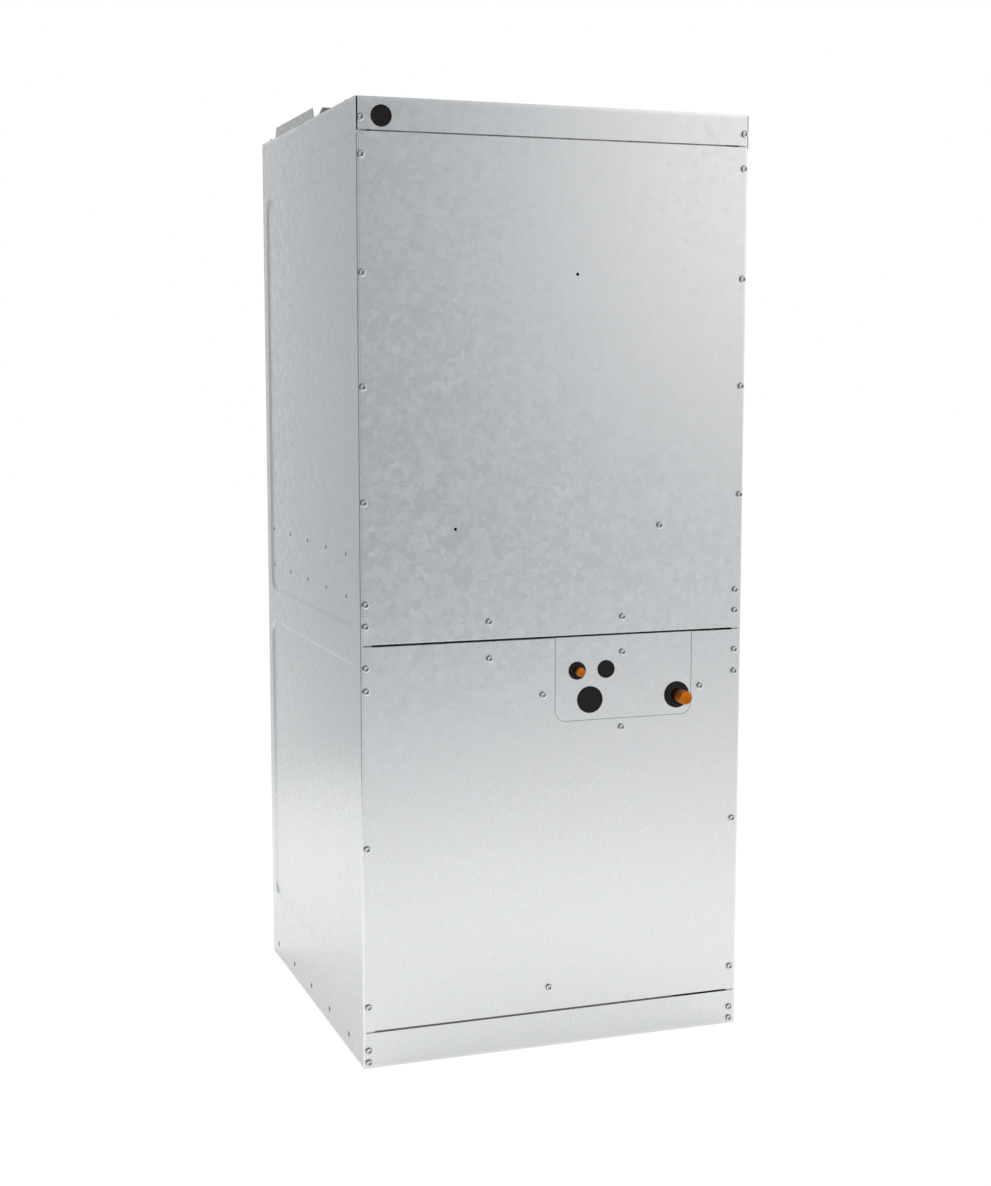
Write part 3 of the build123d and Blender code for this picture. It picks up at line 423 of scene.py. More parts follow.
def button_shape():
    """A clinched button: a low rim round a dish that goes down into its pocket."""
    rim = BUTTON_RADIUS
    profile = [
        (0.6 * MM, -0.59 * MM),
        (rim + BUTTON_SEAT, -0.59 * MM),
        (rim + BUTTON_SEAT, 0.0),
        (rim + 0.9 * MM, 0.2 * MM),
        (rim + 0.2 * MM, 0.26 * MM),
        (rim - 0.3 * MM, 0.1 * MM),
        (rim - 0.7 * MM, -0.4 * MM),
        (rim - 1.2 * MM, -0.52 * MM),
        (0.5 * MM, -0.55 * MM),
    ]
    return turned(profile, BUTTON_COLUMNS)


def side_buttons():
    """The rows of clinched buttons on both sides, in the pressed field and along the foot."""
    depths = (BUTTON_FIRST + BUTTON_PITCH * np.arange(BUTTON_COUNT)) * MM
    in_row = 2 * BUTTON_COUNT
    rows = [(height, FIELD_DEPTH, FIELD_BUTTON_SHADES, FIELD_BUTTON_LIT) for height in FIELD_BUTTON_ROWS]
    rows.append((FOOT_BUTTON_ROW, 0.0, FOOT_BUTTON_SHADES, FOOT_BUTTON_LIT))
    frames, painted_shade = [], []
    for height, sunk, row_shades, lit in rows:
        for depth in depths:
            frames.append((LEFT, (-SIDE_FACE + sunk, depth, height * MM)))
            frames.append((RIGHT, (SIDE_FACE - sunk, depth, height * MM)))
        # Painted shade in each button's dish, with a painted highlight on its rim's lower right
        painted_shade.append(shades(row_shades, lit, BUTTON_COLUMNS, in_row))
    shape = repeated(button_shape(), frames)
    return add_piece("side_buttons", *shape, "galvanised_steel", painted_shade=np.concatenate(painted_shade))


# Rubber

def lip_profile(radius, stand):
    """The outside of a rubber piece from its back lip over the neck to the top of the front lip."""
    neck = radius - RUBBER_NECK
    back = radius - 1.2 * MM
    return [
        (back - 0.5 * MM, -RUBBER_DEPTH),
        (back, -2.5 * MM),
        (back, -1.5 * MM),
        (neck, -1.0 * MM),
        (neck, 0.0),
        (radius - 0.3 * MM, 0.0),
        (radius, 0.4 * MM),
        (radius, 1.2 * MM),
        (radius - 0.35 * MM, stand - 0.9 * MM),
        (radius - 1.0 * MM, stand - 0.3 * MM),
        (radius - 1.8 * MM, stand),
    ]


def plug_shape(radius):
    """A closed plug: its lip, a shallow groove, and a thin domed middle."""
    stand = RUBBER_STAND
    middle = radius - 3.6 * MM
    dome = [
        (middle + 0.9 * MM, stand - 0.15 * MM),
        (middle + 0.3 * MM, stand - 0.75 * MM),
        (middle - 0.4 * MM, stand - 0.8 * MM),
        (0.7 * middle, stand - 0.55 * MM),
        (0.35 * middle, stand - 0.4 * MM),
        (0.08 * middle, stand - 0.36 * MM),
    ]
    back = [(0.08 * middle, -RUBBER_BACK), (middle, -RUBBER_BACK)]
    return turned(back + lip_profile(radius, stand) + dome, ROUND_COLUMNS)


def grommet_shape(radius, bore):
    """A grommet: its lip runs inward over a rounded shoulder to the bore."""
    stand = RUBBER_STAND
    inner = [
        (bore + 1.6 * MM, stand - 0.1 * MM),
        (bore + 0.5 * MM, stand - 0.45 * MM),
        (bore, stand - 1.0 * MM),
        (bore, -RUBBER_BACK),
        (bore + 0.4 * MM, -RUBBER_DEPTH),
    ]
    return turned(lip_profile(radius, stand) + inner, ROUND_COLUMNS, closed=True)


def node_centre(node):
    """Centre of a node's box in x and z, on the front face."""
    low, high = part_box(node)
    return ((low.x + high.x) / 2, FRONT_FACE, (low.z + high.z) / 2)


def rubber_piece(node, bore=0.0):
    """The rubber plug or grommet that stands for a node."""
    low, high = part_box(node)
    radius = (high.x - low.x) / 2
    shape = grommet_shape(radius, bore) if bore else plug_shape(radius)
    points, faces = repeated(shape, [(FRONT, node_centre(node))])
    return add_piece(f"{node}_rubber", points, faces, "black_rubber", [node])


# Copper

def stub_shape(radius, reach, inside):
    """A tube with a closed cup over its end: the wall's inside, then its outside to the cup's face."""
    tube = radius - CUP_STEP
    hollow = tube - COPPER_WALL
    profile = [
        (0.1 * radius, reach - CUP_FLOOR),
        (hollow, reach - CUP_FLOOR),
        (hollow, -inside),
        (tube, -inside),
        (tube, CUP_STAND),
        (radius - 0.08 * MM, CUP_STAND),
        (radius, CUP_STAND + 0.1 * MM),
        (radius, reach - 1.1 * MM),
        (radius - 0.12 * MM, reach - 0.6 * MM),
        (radius - 0.45 * MM, reach - 0.2 * MM),
        (radius - 0.95 * MM, reach),
        (radius - 1.6 * MM, reach),
        (radius - 2.1 * MM, reach - 0.18 * MM),
        (0.1 * radius, reach - 0.22 * MM),
    ]
    return turned(profile, ROUND_COLUMNS)


def copper_stub(node, radius):
    """The capped copper line stub that stands for a node; the sheet round it doesn't mirror it."""
    low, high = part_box(node)
    shape = stub_shape(radius, FRONT_FACE - low.y, high.y - FRONT_FACE)
    points, faces = repeated(shape, [(FRONT, node_centre(node))])
    # Painted shade down the stub toward the sheet
    painted_shade = shades(STUB_SHADES, 0.0, ROUND_COLUMNS, 1)
    piece = add_piece(f"{node}_tube", points, faces, "copper", [node], painted_shade=painted_shade)
    piece.visible_glossy = False
    return piece


# Coil

def slab_outline():
    """Corners (x, z) of the right slab's cross-section, and its unit direction up the slope.

    The inner edge rises from the foot to the apex, and the outer edge runs beside it at the slab's
    thickness t. Level cuts lengthen t to t sqrt(1 + s s), with s the run over the rise.
    """
    foot = COIL_APEX_GAP + COIL_SPREAD
    slope = COIL_SPREAD / (COIL_APEX - COIL_FLOOR)
    across = COIL_SLAB * np.sqrt(1 + slope ** 2)
    top = COIL_APEX + COIL_SLAB / 2
    outer_top = foot + across - slope * (top - COIL_FLOOR)
    corners = [
        (foot, COIL_FLOOR), (foot + across, COIL_FLOOR), (outer_top, top),
        (COIL_APEX_GAP, top), (COIL_APEX_GAP, COIL_APEX),
    ]
    direction = np.array([-slope, 1.0]) / np.sqrt(1 + slope ** 2)
    return np.array(corners), direction


def mirrored(shape, side):
    """The shape itself for the right side, and its mirror image, with faces turned round, for the left."""
    points, faces = shape
    if side > 0:
        return points, faces
    return points * np.array([-1.0, 1.0, 1.0]), [face[::-1] for face in faces]


def coil_fins(side, node):
    """The fins of one slab: thin plates of the slab's cross-section, evenly spaced between the end sheets."""
    low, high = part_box(node)
    outline, _ = slab_outline()
    starts = np.arange(low.y + END_SHEET, high.y - END_SHEET - FIN_THICKNESS, FIN_PITCH)
    fins = prisms(outline, starts, FIN_THICKNESS)
    return add_piece(f"{node}_fins", *mirrored(fins, side), "coil_fins", [node])


def coil_sheets(side, node):
    """The two sheets that close a slab's ends."""
    low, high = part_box(node)
    outline, _ = slab_outline()
    sheets = prisms(outline, [low.y, high.y - END_SHEET], END_SHEET)
    return add_piece(f"{node}_end_sheets", *mirrored(sheets, side), "galvanised_inner")


def coil_tubes(side, node):
    """The tubes of one slab, in rows up its slope, each as long as the slab.

    Tube (i, j) has its centre at the foot plus i spacings up the slope and (j + 1/2) row gaps across it.
    """
    low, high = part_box(node)
    outline, along = slab_outline()
    across = np.array([along[1], -along[0]])
    rise = np.arange(1, TUBES_PER_ROW + 1) * TUBE_SPACING
    depth = (np.arange(TUBE_ROWS) + 0.5) * COIL_SLAB / TUBE_ROWS
    centres = outline[0] + rise[:, None, None] * along + depth[None, :, None] * across
    length = high.y - low.y - 2 * END_SHEET
    rod = turned([(TUBE_RADIUS, 0.0), (TUBE_RADIUS, length)], TUBE_COLUMNS)
    frames = [(FRONT, (x, high.y - END_SHEET, z)) for x, z in centres.reshape(-1, 2)]
    return add_piece(f"{node}_tubes", *mirrored(repeated(rod, frames), side), "copper")


# Materials

def new_group(name, inputs, outputs):
    """An empty node group with named sockets, each given as (name, kind, default)."""
    group = bpy.data.node_groups.new(name, "ShaderNodeTree")
    for label, kind, default in inputs:
        socket = group.interface.new_socket(label, in_out="INPUT", socket_type=kind)
        if default is not None:
            socket.default_value = default
    for label, kind in outputs:
        group.interface.new_socket(label, in_out="OUTPUT", socket_type=kind)
    return group, group.nodes.new("NodeGroupInput"), group.nodes.new("NodeGroupOutput")


def node(tree, kind, settings=(), **inputs):
    """A node with its settings, and its inputs set or linked by name or index."""
    made = tree.nodes.new(kind)
    for label, value in dict(settings).items():
        setattr(made, label, value)
    for label, value in inputs.items():
        connect(tree, made, label.replace("_", " "), value)
    return made


def connect(tree, made, label, value):
    """Set an input socket to a value, or link an output socket to it."""
    socket = made.inputs[int(label)] if label.isdigit() else made.inputs[label]
    if isinstance(value, bpy.types.NodeSocket):
        tree.links.new(value, socket)
    else:
        socket.default_value = value


def math(tree, operation, first, second=None, third=None):
    """The output of a Math node on values or sockets."""
    made = tree.nodes.new("ShaderNodeMath")
    made.operation = operation
    for index, value in enumerate((first, second, third)):
        if value is not None:
            connect(tree, made, str(index), value)
    return made.outputs[0]


def vector_math(tree, operation, first, second=None, output=0):
    """The output of a Vector Math node on vectors or sockets."""
    made = tree.nodes.new("ShaderNodeVectorMath")
    made.operation = operation
    connect(tree, made, "0", first)
    if second is not None:
        connect(tree, made, "1", second)
    return made.outputs[output]


def scaled(tree, vector, factor):
    """A vector made longer or shorter by a factor."""
    made = node(tree, "ShaderNodeVectorMath", {"operation": "SCALE"}, **{"0": vector, "Scale": factor})
    return made.outputs[0]


def noise(tree, position, scale, detail, output="Fac", **inputs):
    """An output of a Noise Texture on a position."""
    made = node(tree, "ShaderNodeTexNoise", Vector=position, Scale=scale, Detail=detail, **inputs)
    return made.outputs[output]


def axes_of(tree, vector):
    """The X, Y and Z outputs of a vector."""
    return node(tree, "ShaderNodeSeparateXYZ", Vector=vector).outputs


def soft_step(tree, value, low, high):
    """0 below low, 1 above high, and a smooth step between; high may be the lower one."""
    kind = {"interpolation_type": "SMOOTHSTEP"}
    made = node(tree, "ShaderNodeMapRange", kind, Value=value, From_Min=low, From_Max=high)
    return made.outputs["Result"]


def mixed(tree, share, first, second):
    """The first value where share is 0, and the second where it is 1."""
    made = node(tree, "ShaderNodeMix", {"data_type": "FLOAT"}, Factor=share, A=first, B=second)
    return made.outputs[0]


def zinc_group():
    """Spangle of hot-dip zinc: soft crystals with their own tone, tilt and feathered grain.

    Crystals are Voronoi cells on warped coordinates. Each has a random tone, the brightest few are
    lifted as flakes, and a fine grain runs through each in its own direction. Each also leans the
    surface's normal by up to half of Tilt, so crystals show where what they reflect changes, and so
    do upright streaks from the rolling. Tone and tilt are fainter toward the foot.
    """
    group, source, target = new_group(
        "zinc_spangle",
        [
            ("Position", "NodeSocketVector", None),
            ("Crystal Size", "NodeSocketFloat", 0.008),
            ("Tilt", "NodeSocketFloat", 0.02),
        ],
        [("Tone", "NodeSocketFloat"), ("Grain", "NodeSocketFloat"), ("Normal", "NodeSocketVector")],
    )
    position, size = source.outputs["Position"], source.outputs["Crystal Size"]
    density = math(group, "DIVIDE", 1.0, size)
    clear = soft_step(group, axes_of(group, position)["Z"], *CLEAR_HEIGHT)
    clear = mixed(group, clear, FOOT_CLEARNESS, 1.0)
    tilt = math(group, "MULTIPLY", source.outputs["Tilt"], clear)

    warp = noise(group, position, math(group, "MULTIPLY", density, WARP_DENSITY), 2.0, "Color")
    shift = vector_math(group, "SUBTRACT", warp, HALF)
    shift = scaled(group, shift, math(group, "MULTIPLY", size, WARP_REACH))
    warped = vector_math(group, "ADD", position, shift)
    crystals = node(
        group, "ShaderNodeTexVoronoi", {"feature": "SMOOTH_F1"},
        Vector=warped, Scale=density, Smoothness=CRYSTAL_SOFTNESS,
    )
    chance = node(group, "ShaderNodeSeparateColor", Color=crystals.outputs["Color"])
    flake = soft_step(group, chance.outputs["Green"], *FLAKE_RANGE)
    cloud = noise(group, position, math(group, "MULTIPLY", density, CLOUD_DENSITY), 3.0)
    tone = math(group, "SUBTRACT", chance.outputs["Red"], 0.5)
    tone = math(group, "MULTIPLY_ADD", math(group, "SUBTRACT", cloud, 0.5), CLOUD_GAIN, tone)
    tone = math(group, "MULTIPLY_ADD", flake, FLAKE_GAIN, tone)
    group.links.new(math(group, "MULTIPLY", tone, clear), target.inputs["Tone"])

    lean = vector_math(group, "SUBTRACT", crystals.outputs["Color"], HALF)
    heading = vector_math(group, "NORMALIZE", lean)
    travel = vector_math(group, "DOT_PRODUCT", warped, heading, output="Value")
    turns = math(group, "MULTIPLY", travel, math(group, "MULTIPLY", density, GRAIN_DENSITY))
    group.links.new(math(group, "SINE", turns), target.inputs["Grain"])

    stretched = vector_math(group, "MULTIPLY", position, STREAK_SHAPE)
    streaks = noise(group, stretched, math(group, "MULTIPLY", density, STREAK_DENSITY), 3.0, "Color")
    streak = vector_math(group, "SUBTRACT", streaks, HALF)
    streak = scaled(group, streak, math(group, "MULTIPLY", tilt, STREAK_GAIN))
    normal = vector_math(group, "ADD", level_normal(group), scaled(group, lean, tilt))
    normal = vector_math(group, "ADD", normal, streak)
    group.links.new(vector_math(group, "NORMALIZE", normal), target.inputs["Normal"])
    return group


def level_normal(tree):
    """The surface's normal, with level folds rounded off and upright folds left sharp.

    A rounded normal is n_c n_c n_c on each axis c, made unit length: flat walls keep theirs.
    """
    normal = node(tree, "ShaderNodeNewGeometry").outputs["Normal"]
    square = vector_math(tree, "MULTIPLY", normal, normal)
    rounded = vector_math(tree, "NORMALIZE", vector_math(tree, "MULTIPLY", square, normal))
    axes = axes_of(tree, normal)
    upright = math(tree, "ABSOLUTE", math(tree, "MULTIPLY", axes["X"], axes["Y"]))
    level = soft_step(tree, upright, *LEVEL_FOLD)
    made = node(tree, "ShaderNodeMix", {"data_type": "VECTOR"}, Factor=level, **{"4": normal, "5": rounded})
    return made.outputs[1]


def seam_group():
    """Shade on what faces the front from behind the panels: laps and rails seen through the seams."""
    group, source, target = new_group(
        "seam_shade", [("Position", "NodeSocketVector", None)], [("Shade", "NodeSocketFloat")]
    )
    position = source.outputs["Position"]
    axes = axes_of(group, position)
    normal = node(group, "ShaderNodeNewGeometry").outputs["Normal"]
    facing = soft_step(group, axes_of(group, normal)["Y"], *LAP_FACING)
    behind = soft_step(group, math(group, "SUBTRACT", axes["Y"], FRONT_FACE), *LAP_DEPTH)
    inside = soft_step(group, math(group, "ABSOLUTE", axes["X"]), *LAP_REACH)
    patches = noise(group, position, SEAM_PATCHES, 3.0)
    uneven = math(group, "MULTIPLY_ADD", patches, SEAM_VARIATION, SEAM_LEAST)
    shade = math(group, "MULTIPLY", facing, behind)
    shade = math(group, "MULTIPLY", shade, math(group, "MULTIPLY", inside, uneven))
    group.links.new(shade, target.inputs["Shade"])
    return group


def rub_group():
    """Rubbing along the edges of a box of sheet metal that stands on the floor, with a painted highlight
    there.

    The depths below its six planes are half size - |position - centre|, taken on each axis, and the
    middle one of the three is the distance from the nearest edge. The rubbing and its painted highlight fade
    over Reach, unevenly.
    """
    group, source, target = new_group(
        "edge_rub",
        [
            ("Position", "NodeSocketVector", None),
            ("Centre", "NodeSocketVector", (0.0, 0.0, 0.0)),
            ("Half Size", "NodeSocketVector", (0.1, 0.1, 0.1)),
            ("Reach", "NodeSocketFloat", 0.004),
        ],
        [("Rub And Highlight", "NodeSocketFloat")],
    )
    position = source.outputs["Position"]
    away = vector_math(group, "ABSOLUTE", vector_math(group, "SUBTRACT", position, source.outputs["Centre"]))
    depth = vector_math(group, "SUBTRACT", source.outputs["Half Size"], away)
    x, y, z = axes_of(group, depth)
    larger = math(group, "MAXIMUM", x, y)
    smaller = math(group, "MINIMUM", x, y)
    middle = math(group, "MAXIMUM", smaller, math(group, "MINIMUM", larger, z))
    patches = noise(group, position, EDGE_PATCHES, 4.0)
    reach = math(group, "MULTIPLY", source.outputs["Reach"], math(group, "ADD", patches, 0.5))
    share = math(group, "SUBTRACT", 1.0, math(group, "DIVIDE", middle, reach))
    group.links.new(soft_step(group, share, 0.0, 1.0), target.inputs["Rub And Highlight"])
    return group


def mottle_group():
    """A mottled tone: noise n, and its shade (n - 1/2) times Amount."""
    group, source, target = new_group(
        "mottle",
        [
            ("Position", "NodeSocketVector", None),
            ("Scale", "NodeSocketFloat", 100.0),
            ("Detail", "NodeSocketFloat", 4.0),
            ("Roughness", "NodeSocketFloat", 0.5),
            ("Amount", "NodeSocketFloat", 0.5),
        ],
        [("Pattern", "NodeSocketFloat"), ("Shade", "NodeSocketFloat")],
    )
    given = source.outputs
    pattern = noise(group, given["Position"], given["Scale"], given["Detail"], Roughness=given["Roughness"])
    group.links.new(pattern, target.inputs["Pattern"])
    shade = math(group, "MULTIPLY", math(group, "SUBTRACT", pattern, 0.5), given["Amount"])
    group.links.new(shade, target.inputs["Shade"])
    return group


GROUPS = {"zinc": zinc_group(), "seam": seam_group(), "rub_highlight": rub_group(), "mottle": mottle_group()}


def effect(tree, name, position, **values):
    """The outputs of an effect's group on a position, with some values of its own."""
    return node(tree, "ShaderNodeGroup", {"node_tree": GROUPS[name]}, Position=position, **values).outputs


def edge_rub(tree, position, *nodes):
    """The rubbing, with its painted highlight, along the edges of the box round some nodes."""
    corners = np.array([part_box(name) for name in nodes])
    low, high = corners[:, 0].min(axis=0), corners[:, 1].max(axis=0)
    centre, half = (low + high) / 2, (high - low) / 2
    return effect(tree, "rub_highlight", position, Centre=centre, Half_Size=half, Reach=EDGE_REACH)["Rub And Highlight"]


def finish(name, **values):
    """A new material with its Principled shader's plain values set, and its Object coordinates."""
    material = bpy.data.materials.new(name)
    material.use_nodes = True
    tree = material.node_tree
    shader = tree.nodes["Principled BSDF"]
    for label, value in values.items():
        shader.inputs[label.replace("_", " ")].default_value = value
    position = tree.nodes.new("ShaderNodeTexCoord").outputs["Object"]
    return material, tree, shader, position


def tinted(tree, colour, amount):
    """A colour made lighter or darker by 1 + amount."""
    return scaled(tree, colour, math(tree, "ADD", amount, 1.0))


def coloured(tree, shader, colour, shade):
    """Give a shader a colour made lighter or darker by 1 + shade."""
    tree.links.new(tinted(tree, colour, shade), shader.inputs["Base Color"])


def dulled(tree, shader, pattern, spread, least):
    """Give a shader a roughness of least plus spread times a pattern."""
    tree.links.new(math(tree, "MULTIPLY_ADD", pattern, spread, least), shader.inputs["Roughness"])


def raised(tree, shader, height, strength, distance):
    """Give a shader a bump from a height."""
    bump = node(tree, "ShaderNodeBump", Height=height, Strength=strength, Distance=distance)
    tree.links.new(bump.outputs["Normal"], shader.inputs["Normal"])


def recess_of(tree):
    """The attribute of painted shade on a turned piece: 1 where little light gets in."""
    return node(tree, "ShaderNodeAttribute", {"attribute_name": "painted_shade"}).outputs["Fac"]


def zinc_finish(name, colour, rough, crystal, contrast, tilt):
    """Galvanised sheet: spangled zinc, darker in the seams as painted shade, and rubbed along the edges,
    which a painted highlight makes bright.
    """
    material, tree, shader, position = finish(name, Metallic=1.0)
    spangle = effect(tree, "zinc", position, Crystal_Size=crystal, Tilt=tilt)
    seam = effect(tree, "seam", position)["Shade"]
    wear = edge_rub(tree, position, "right_side_panel", "left_side_panel")
    shade = math(tree, "MULTIPLY_ADD", spangle["Grain"], GRAIN_GAIN, spangle["Tone"])
    shade = math(tree, "MULTIPLY", shade, contrast)
    # Painted shade in the seams, then a painted highlight along the rubbed edges
    shade = math(tree, "MULTIPLY_ADD", seam, SEAM_DARKNESS, shade)
    coloured(tree, shader, colour, math(tree, "MULTIPLY_ADD", wear, EDGE_HIGHLIGHT_GAIN, shade))
    rough = math(tree, "MULTIPLY_ADD", spangle["Tone"], TONE_ROUGHNESS, rough)
    dulled(tree, shader, wear, EDGE_POLISH, rough)
    tree.links.new(spangle["Normal"], shader.inputs["Normal"])
    return material


def screw_finish():
    """Bright zinc plate, darkened by painted shade where its attribute says that little light gets in."""
    material, tree, shader, position = finish("zinc_plate_finish", Metallic=1.0)
    cloud = effect(tree, "mottle", position, Scale=600.0, Detail=3.0, Amount=0.12)
    # Painted shade from the attribute darkens the plate
    shade = math(tree, "MULTIPLY_ADD", recess_of(tree), SCREW_DARKNESS, cloud["Shade"])
    coloured(tree, shader, ZINC_PLATE_COLOUR, shade)
    dulled(tree, shader, cloud["Pattern"], spread=0.1, least=0.14)
    return material


def rubber_finish():
    """Matt black rubber with a faint bloom."""
    material, tree, shader, position = finish("black_rubber_finish", Specular_IOR_Level=0.15)
    bloom = effect(tree, "mottle", position, Scale=180.0, Amount=0.5)
    coloured(tree, shader, RUBBER_COLOUR, bloom["Shade"])
    dulled(tree, shader, bloom["Pattern"], spread=0.12, least=0.5)
    return material


def copper_finish():
    """Drawn copper, dulled by handling, and darker by painted shade where its attribute of painted shade is
    high.
    """
    material, tree, shader, position = finish("copper_finish", Metallic=1.0)
    tarnish = effect(tree, "mottle", position, Scale=90.0, Amount=0.5)
    # Painted shade from the attribute darkens the copper
    shade = math(tree, "MULTIPLY_ADD", recess_of(tree), STUB_DARKNESS, tarnish["Shade"])
    coloured(tree, shader, COPPER_COLOUR, shade)
    dulled(tree, shader, tarnish["Pattern"], spread=0.2, least=0.28)
    return material


def lining_finish():
    """Black mat-faced lining board with short felted fibres."""
    material, tree, shader, position = finish("black_lining_finish", Roughness=0.9)
    fibre = effect(tree, "mottle", position, Scale=700.0, Detail=5.0, Roughness=0.7, Amount=1.4)
    coloured(tree, shader, LINING_COLOUR, fibre["Shade"])
    raised(tree, shader, fibre["Pattern"], strength=0.5, distance=0.6 * MM)
    return material


def fin_finish():
    """Bare aluminium fin stock, rolled, with a slight water stain."""
    material, tree, shader, position = finish("coil_fin_finish", Metallic=1.0)
    stain = effect(tree, "mottle", position, Scale=22.0, Amount=0.2)
    coloured(tree, shader, FIN_COLOUR, stain["Shade"])
    dulled(tree, shader, stain["Pattern"], spread=0.2, least=0.25)
    return material


def pan_finish():
    """Moulded black plastic with a fine moulded texture and rubbed edges, which a painted highlight makes
    lighter.
    """
    material, tree, shader, position = finish("pan_plastic_finish")
    grain = effect(tree, "mottle", position, Scale=900.0, Detail=2.0)["Pattern"]
    flow = effect(tree, "mottle", position, Scale=9.0, Detail=3.0, Amount=0.4)["Shade"]
    # Rubbed edges, also painted lighter as a highlight
    wear = edge_rub(tree, position, "drain_pan")
    coloured(tree, shader, PAN_COLOUR, math(tree, "MULTIPLY_ADD", wear, PAN_EDGE_HIGHLIGHT_GAIN, flow))
    dulled(tree, shader, grain, spread=0.15, least=0.42)
    raised(tree, shader, grain, strength=0.25, distance=0.3 * MM)
    return material


def motor_finish():
    """Satin black motor enamel with a slight orange peel."""
    material, tree, shader, position = finish("motor_paint_finish")
    peel = effect(tree, "mottle", position, Scale=420.0, Detail=2.0)["Pattern"]
    wear = effect(tree, "mottle", position, Scale=30.0, Amount=0.5)
    coloured(tree, shader, MOTOR_COLOUR, wear["Shade"])
    dulled(tree, shader, wear["Pattern"], spread=0.15, least=0.3)
    raised(tree, shader, peel, strength=0.2, distance=0.2 * MM)
    return material


FINISHES = {
    **{name: zinc_finish(f"{name}_finish", **values) for name, values in ZINCS.items()},
    "zinc_plate": screw_finish(),
    "black_rubber": rubber_finish(),
    "copper": copper_finish(),
    "black_lining": lining_finish(),
    "coil_fins": fin_finish(),
    "pan_plastic": pan_finish(),
    "motor_paint": motor_finish(),
}


def dress(piece, name):
    """Give a piece a finish by its name."""
    piece.data.materials.clear()
    piece.data.materials.append(FINISHES[name])


def dress_nodes():
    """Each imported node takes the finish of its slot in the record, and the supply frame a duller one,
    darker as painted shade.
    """
    slots = {part["node"]: part["material_slot"] for part in frame["record"]["subparts"]}
    slots["supply_frame"] = "supply_frame"
    for name, piece in frame["nodes"].items():
        if not piece.material_slots:
            piece.data.materials.append(None)
        for holder in piece.material_slots:
            holder.material = FINISHES[slots[name]]


# Stage

def emission(tree, colour, strength):
    """An Emission shader of a colour and a strength."""
    return node(tree, "ShaderNodeEmission", Color=colour, Strength=strength).outputs[0]


def staged(name, points, faces, material):
    """A piece of the studio, which isn't part of the cabinet."""
    mesh = bpy.data.meshes.new(name)
    mesh.from_pydata(points, [], faces)
    made = bpy.data.objects.new(name, mesh)
    made.data.materials.append(material)
    bpy.context.scene.collection.objects.link(made)
    return made


def white_floor():
    """A wide round floor."""
    points, faces = turned([(0.0, 0.0), (FLOOR_RADIUS, 0.0)], ROUND_COLUMNS)
    staged("floor", points, [faces[-1]], floor_finish())


def grey_screen():
    """An upright round screen that stands about the cabinet, for reflections and not for the camera."""
    points, faces = turned([(SCREEN_RADIUS, 0.0), (SCREEN_RADIUS, SCREEN_HEIGHT)], SCREEN_COLUMNS)
    walls, canopy = faces[:-2], faces[-1]
    screen = staged("grey_screen", points, [face[::-1] for face in walls + [canopy]], screen_finish())
    screen.visible_camera = False
    screen.visible_shadow = False
    screen.visible_diffuse = False


def stage_material(name):
    """A material with an empty node tree and its output."""
    material = bpy.data.materials.new(name)
    material.use_nodes = True
    material.node_tree.nodes.clear()
    return material, material.node_tree, material.node_tree.nodes.new("ShaderNodeOutputMaterial")


def floor_finish():
    """Mostly an even white, with enough of a matt floor left to keep the cabinet's shadow. For all but the
    camera it dims away from the cabinet as a painted pool of light, and under the cabinet's footprint it has
    a painted shadow.

    It is clear from below, so the cabinet's underside can be looked at.
    """
    material, tree, out = stage_material("floor_white")
    seen = node(tree, "ShaderNodeLightPath").outputs["Is Camera Ray"]
    position = node(tree, "ShaderNodeTexCoord").outputs["Object"]
    # Painted pool of light: for all but the camera the floor dims away from the cabinet
    near = soft_step(tree, vector_math(tree, "LENGTH", position, output="Value"), *FLOOR_FADE)
    fade = math(tree, "MAXIMUM", mixed(tree, near, FLOOR_FAR_LEVEL, FLOOR_NEAR_LEVEL), seen)
    # Painted shadow: the floor's glow and paint drop under the cabinet's footprint
    axes = axes_of(tree, position)
    across = math(tree, "ABSOLUTE", axes["X"])
    along = math(tree, "ABSOLUTE", math(tree, "SUBTRACT", axes["Y"], CABINET_MIDDLE))
    open_floor = soft_step(tree, math(tree, "MAXIMUM", across, along), *FOOTPRINT_EDGE)
    fade = math(tree, "MULTIPLY", fade, mixed(tree, open_floor, FOOTPRINT_SHADOW_LEVEL, 1.0))
    paint = tinted(tree, FLOOR_PAINT, math(tree, "SUBTRACT", fade, 1.0))
    matt = node(tree, "ShaderNodeBsdfDiffuse", Color=paint).outputs[0]
    glow = emission(tree, WHITE, math(tree, "MULTIPLY", fade, FLOOR_GLOW))
    evenness = mixed(tree, seen, FLOOR_MIRRORED_EVENNESS, FLOOR_SEEN_EVENNESS)
    surface = blended(tree, evenness, matt, glow)
    below = node(tree, "ShaderNodeNewGeometry").outputs["Backfacing"]
    surface = blended(tree, below, surface, node(tree, "ShaderNodeBsdfTransparent").outputs[0])
    tree.links.new(surface, out.inputs["Surface"])
    return material


def blended(tree, share, first, second):
    """The first shader where share is 0, and the second where it is 1."""
    return node(tree, "ShaderNodeMixShader", **{"0": share, "1": first, "2": second}).outputs[0]


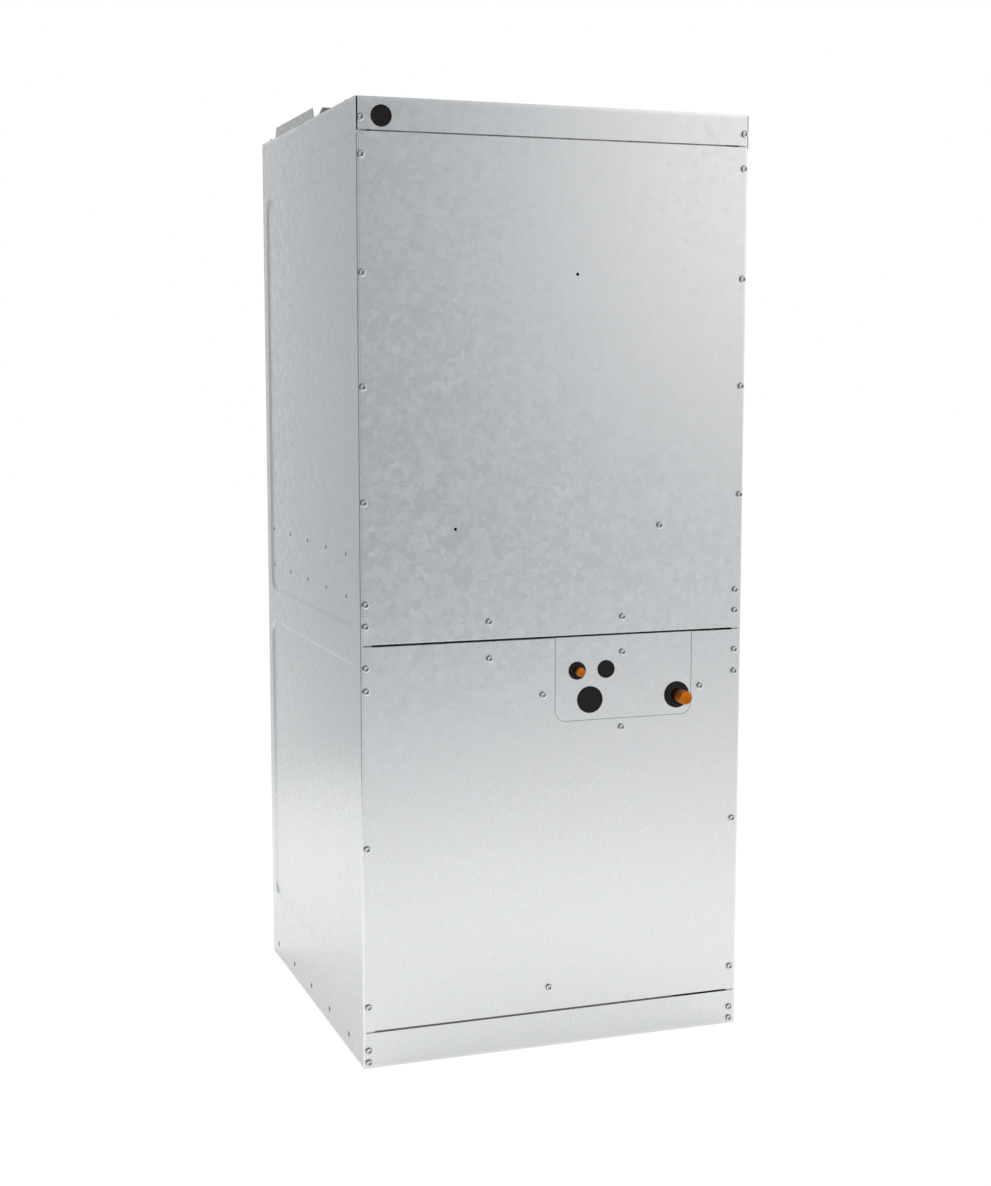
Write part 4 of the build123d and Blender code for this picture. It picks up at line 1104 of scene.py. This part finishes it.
def screen_finish():
    """Grey, lighter to the right of the front and up there, and white like the backdrop behind.

    It is darker beside the front's left corner, so edges and screw heads keep a dark side, and the
    canopy overhead is darker too.
    """
    material, tree, out = stage_material("screen_grey")
    axes = axes_of(tree, node(tree, "ShaderNodeTexCoord").outputs["Object"])
    direction = math(tree, "ARCTAN2", axes["X"], math(tree, "MULTIPLY", axes["Y"], -1.0))
    direction = math(tree, "DEGREES", direction)

    side = soft_step(tree, direction, *SOFT_SIDE)
    side = math(tree, "MULTIPLY", side, soft_step(tree, direction, *SOFT_END))
    high = math(tree, "MULTIPLY", side, soft_step(tree, axes["Z"], *SOFT_HEIGHT))
    apart = math(tree, "ABSOLUTE", math(tree, "SUBTRACT", direction, BACKDROP_DIRECTION))
    apart = math(tree, "MINIMUM", apart, math(tree, "SUBTRACT", 360.0, apart))
    behind = soft_step(tree, apart, *BACKDROP_EDGE)
    ahead = soft_step(tree, math(tree, "ABSOLUTE", direction), *FOOT_SPREAD)
    ahead = mixed(tree, ahead, FOOT_BEHIND_SHARE, 1.0)
    foot = math(tree, "MULTIPLY", ahead, soft_step(tree, axes["Z"], FOOT_HEIGHT, 0.0))

    level = SCREEN_GREY
    gains = ((side, SOFT_SIDE_GAIN), (high, SOFT_TOP_GAIN), (behind, BACKDROP_GAIN), (foot, FOOT_GAIN))
    for share, gain in gains:
        level = math(tree, "MULTIPLY_ADD", share, gain, level)
    away = math(tree, "ABSOLUTE", math(tree, "SUBTRACT", direction, DARK_DIRECTION))
    level = mixed(tree, soft_step(tree, away, *DARK_EDGE), level, DARK_LEVEL)
    level = mixed(tree, soft_step(tree, axes["Z"], *CANOPY_HEIGHT), level, CANOPY_LEVEL)
    white = soft_step(tree, level, *WHITE_LEVEL)
    colours = {"6": SCREEN_COOL, "7": SCREEN_WHITE}
    tint = node(tree, "ShaderNodeMix", {"data_type": "RGBA"}, Factor=white, **colours)
    tree.links.new(emission(tree, tint.outputs[2], level), out.inputs["Surface"])
    return material


def soft_light(name, place, aim, width, power):
    """A square soft light at a place, turned to face a point."""
    data = bpy.data.lights.new(name, "AREA")
    data.shape = "SQUARE"
    data.size = width
    data.energy = power
    lamp = bpy.data.objects.new(name, data)
    lamp.location = place
    lamp.rotation_euler = (Vector(aim) - Vector(place)).to_track_quat("-Z", "Y").to_euler()
    lamp.visible_glossy = False
    bpy.context.scene.collection.objects.link(lamp)


def white_world():
    """White for what the camera and reflections see, and a plain level for the rest."""
    world = bpy.data.worlds.new("studio")
    bpy.context.scene.world = world
    world.use_nodes = True
    tree = world.node_tree
    backdrop = tree.nodes["Background"]
    backdrop.inputs["Color"].default_value = WHITE
    rays = node(tree, "ShaderNodeLightPath").outputs
    seen = math(tree, "MAXIMUM", rays["Is Camera Ray"], rays["Is Glossy Ray"])
    seen = math(tree, "MAXIMUM", seen, rays["Is Transmission Ray"])
    tree.links.new(mixed(tree, seen, WORLD_LEVEL, 1.0), backdrop.inputs["Strength"])


def photo_camera():
    """The camera, at the photograph's viewing angle."""
    data = bpy.data.cameras.new("camera")
    data.lens = CAMERA_LENS
    camera = bpy.data.objects.new("camera", data)
    camera.location = CAMERA_PLACE
    camera.rotation_euler = Euler(np.radians(CAMERA_TURN))
    bpy.context.scene.collection.objects.link(camera)
    bpy.context.scene.camera = camera
    bpy.context.scene.view_settings.view_transform = "Standard"


def build():
    """Every piece with its finish, then the stage."""
    photo_camera()
    dress_nodes()
    dress(front_screws(), "zinc_plate")
    dress(top_screws(), "zinc_plate")
    dress(side_buttons(), "zinc_plate")
    for name in ("wiring_plug", "small_port_plug", "large_port_plug"):
        dress(rubber_piece(name), "black_rubber")
    dress(rubber_piece("liquid_line_grommet", LIQUID_RADIUS - CUP_STEP + RUNNING_GAP), "black_rubber")
    dress(rubber_piece("suction_line_grommet", SUCTION_RADIUS - CUP_STEP + RUNNING_GAP), "black_rubber")
    dress(copper_stub("liquid_line_stub", LIQUID_RADIUS), "copper")
    dress(copper_stub("suction_line_stub", SUCTION_RADIUS), "copper")
    for side, name in ((-1, "left_coil_slab"), (1, "right_coil_slab")):
        dress(coil_fins(side, name), "coil_fins")
        dress(coil_sheets(side, name), "galvanised_inner")
        dress(coil_tubes(side, name), "copper")
    white_floor()
    grey_screen()
    white_world()
    for name, values in SOFT_LIGHTS.items():
        soft_light(name, *values)


build()
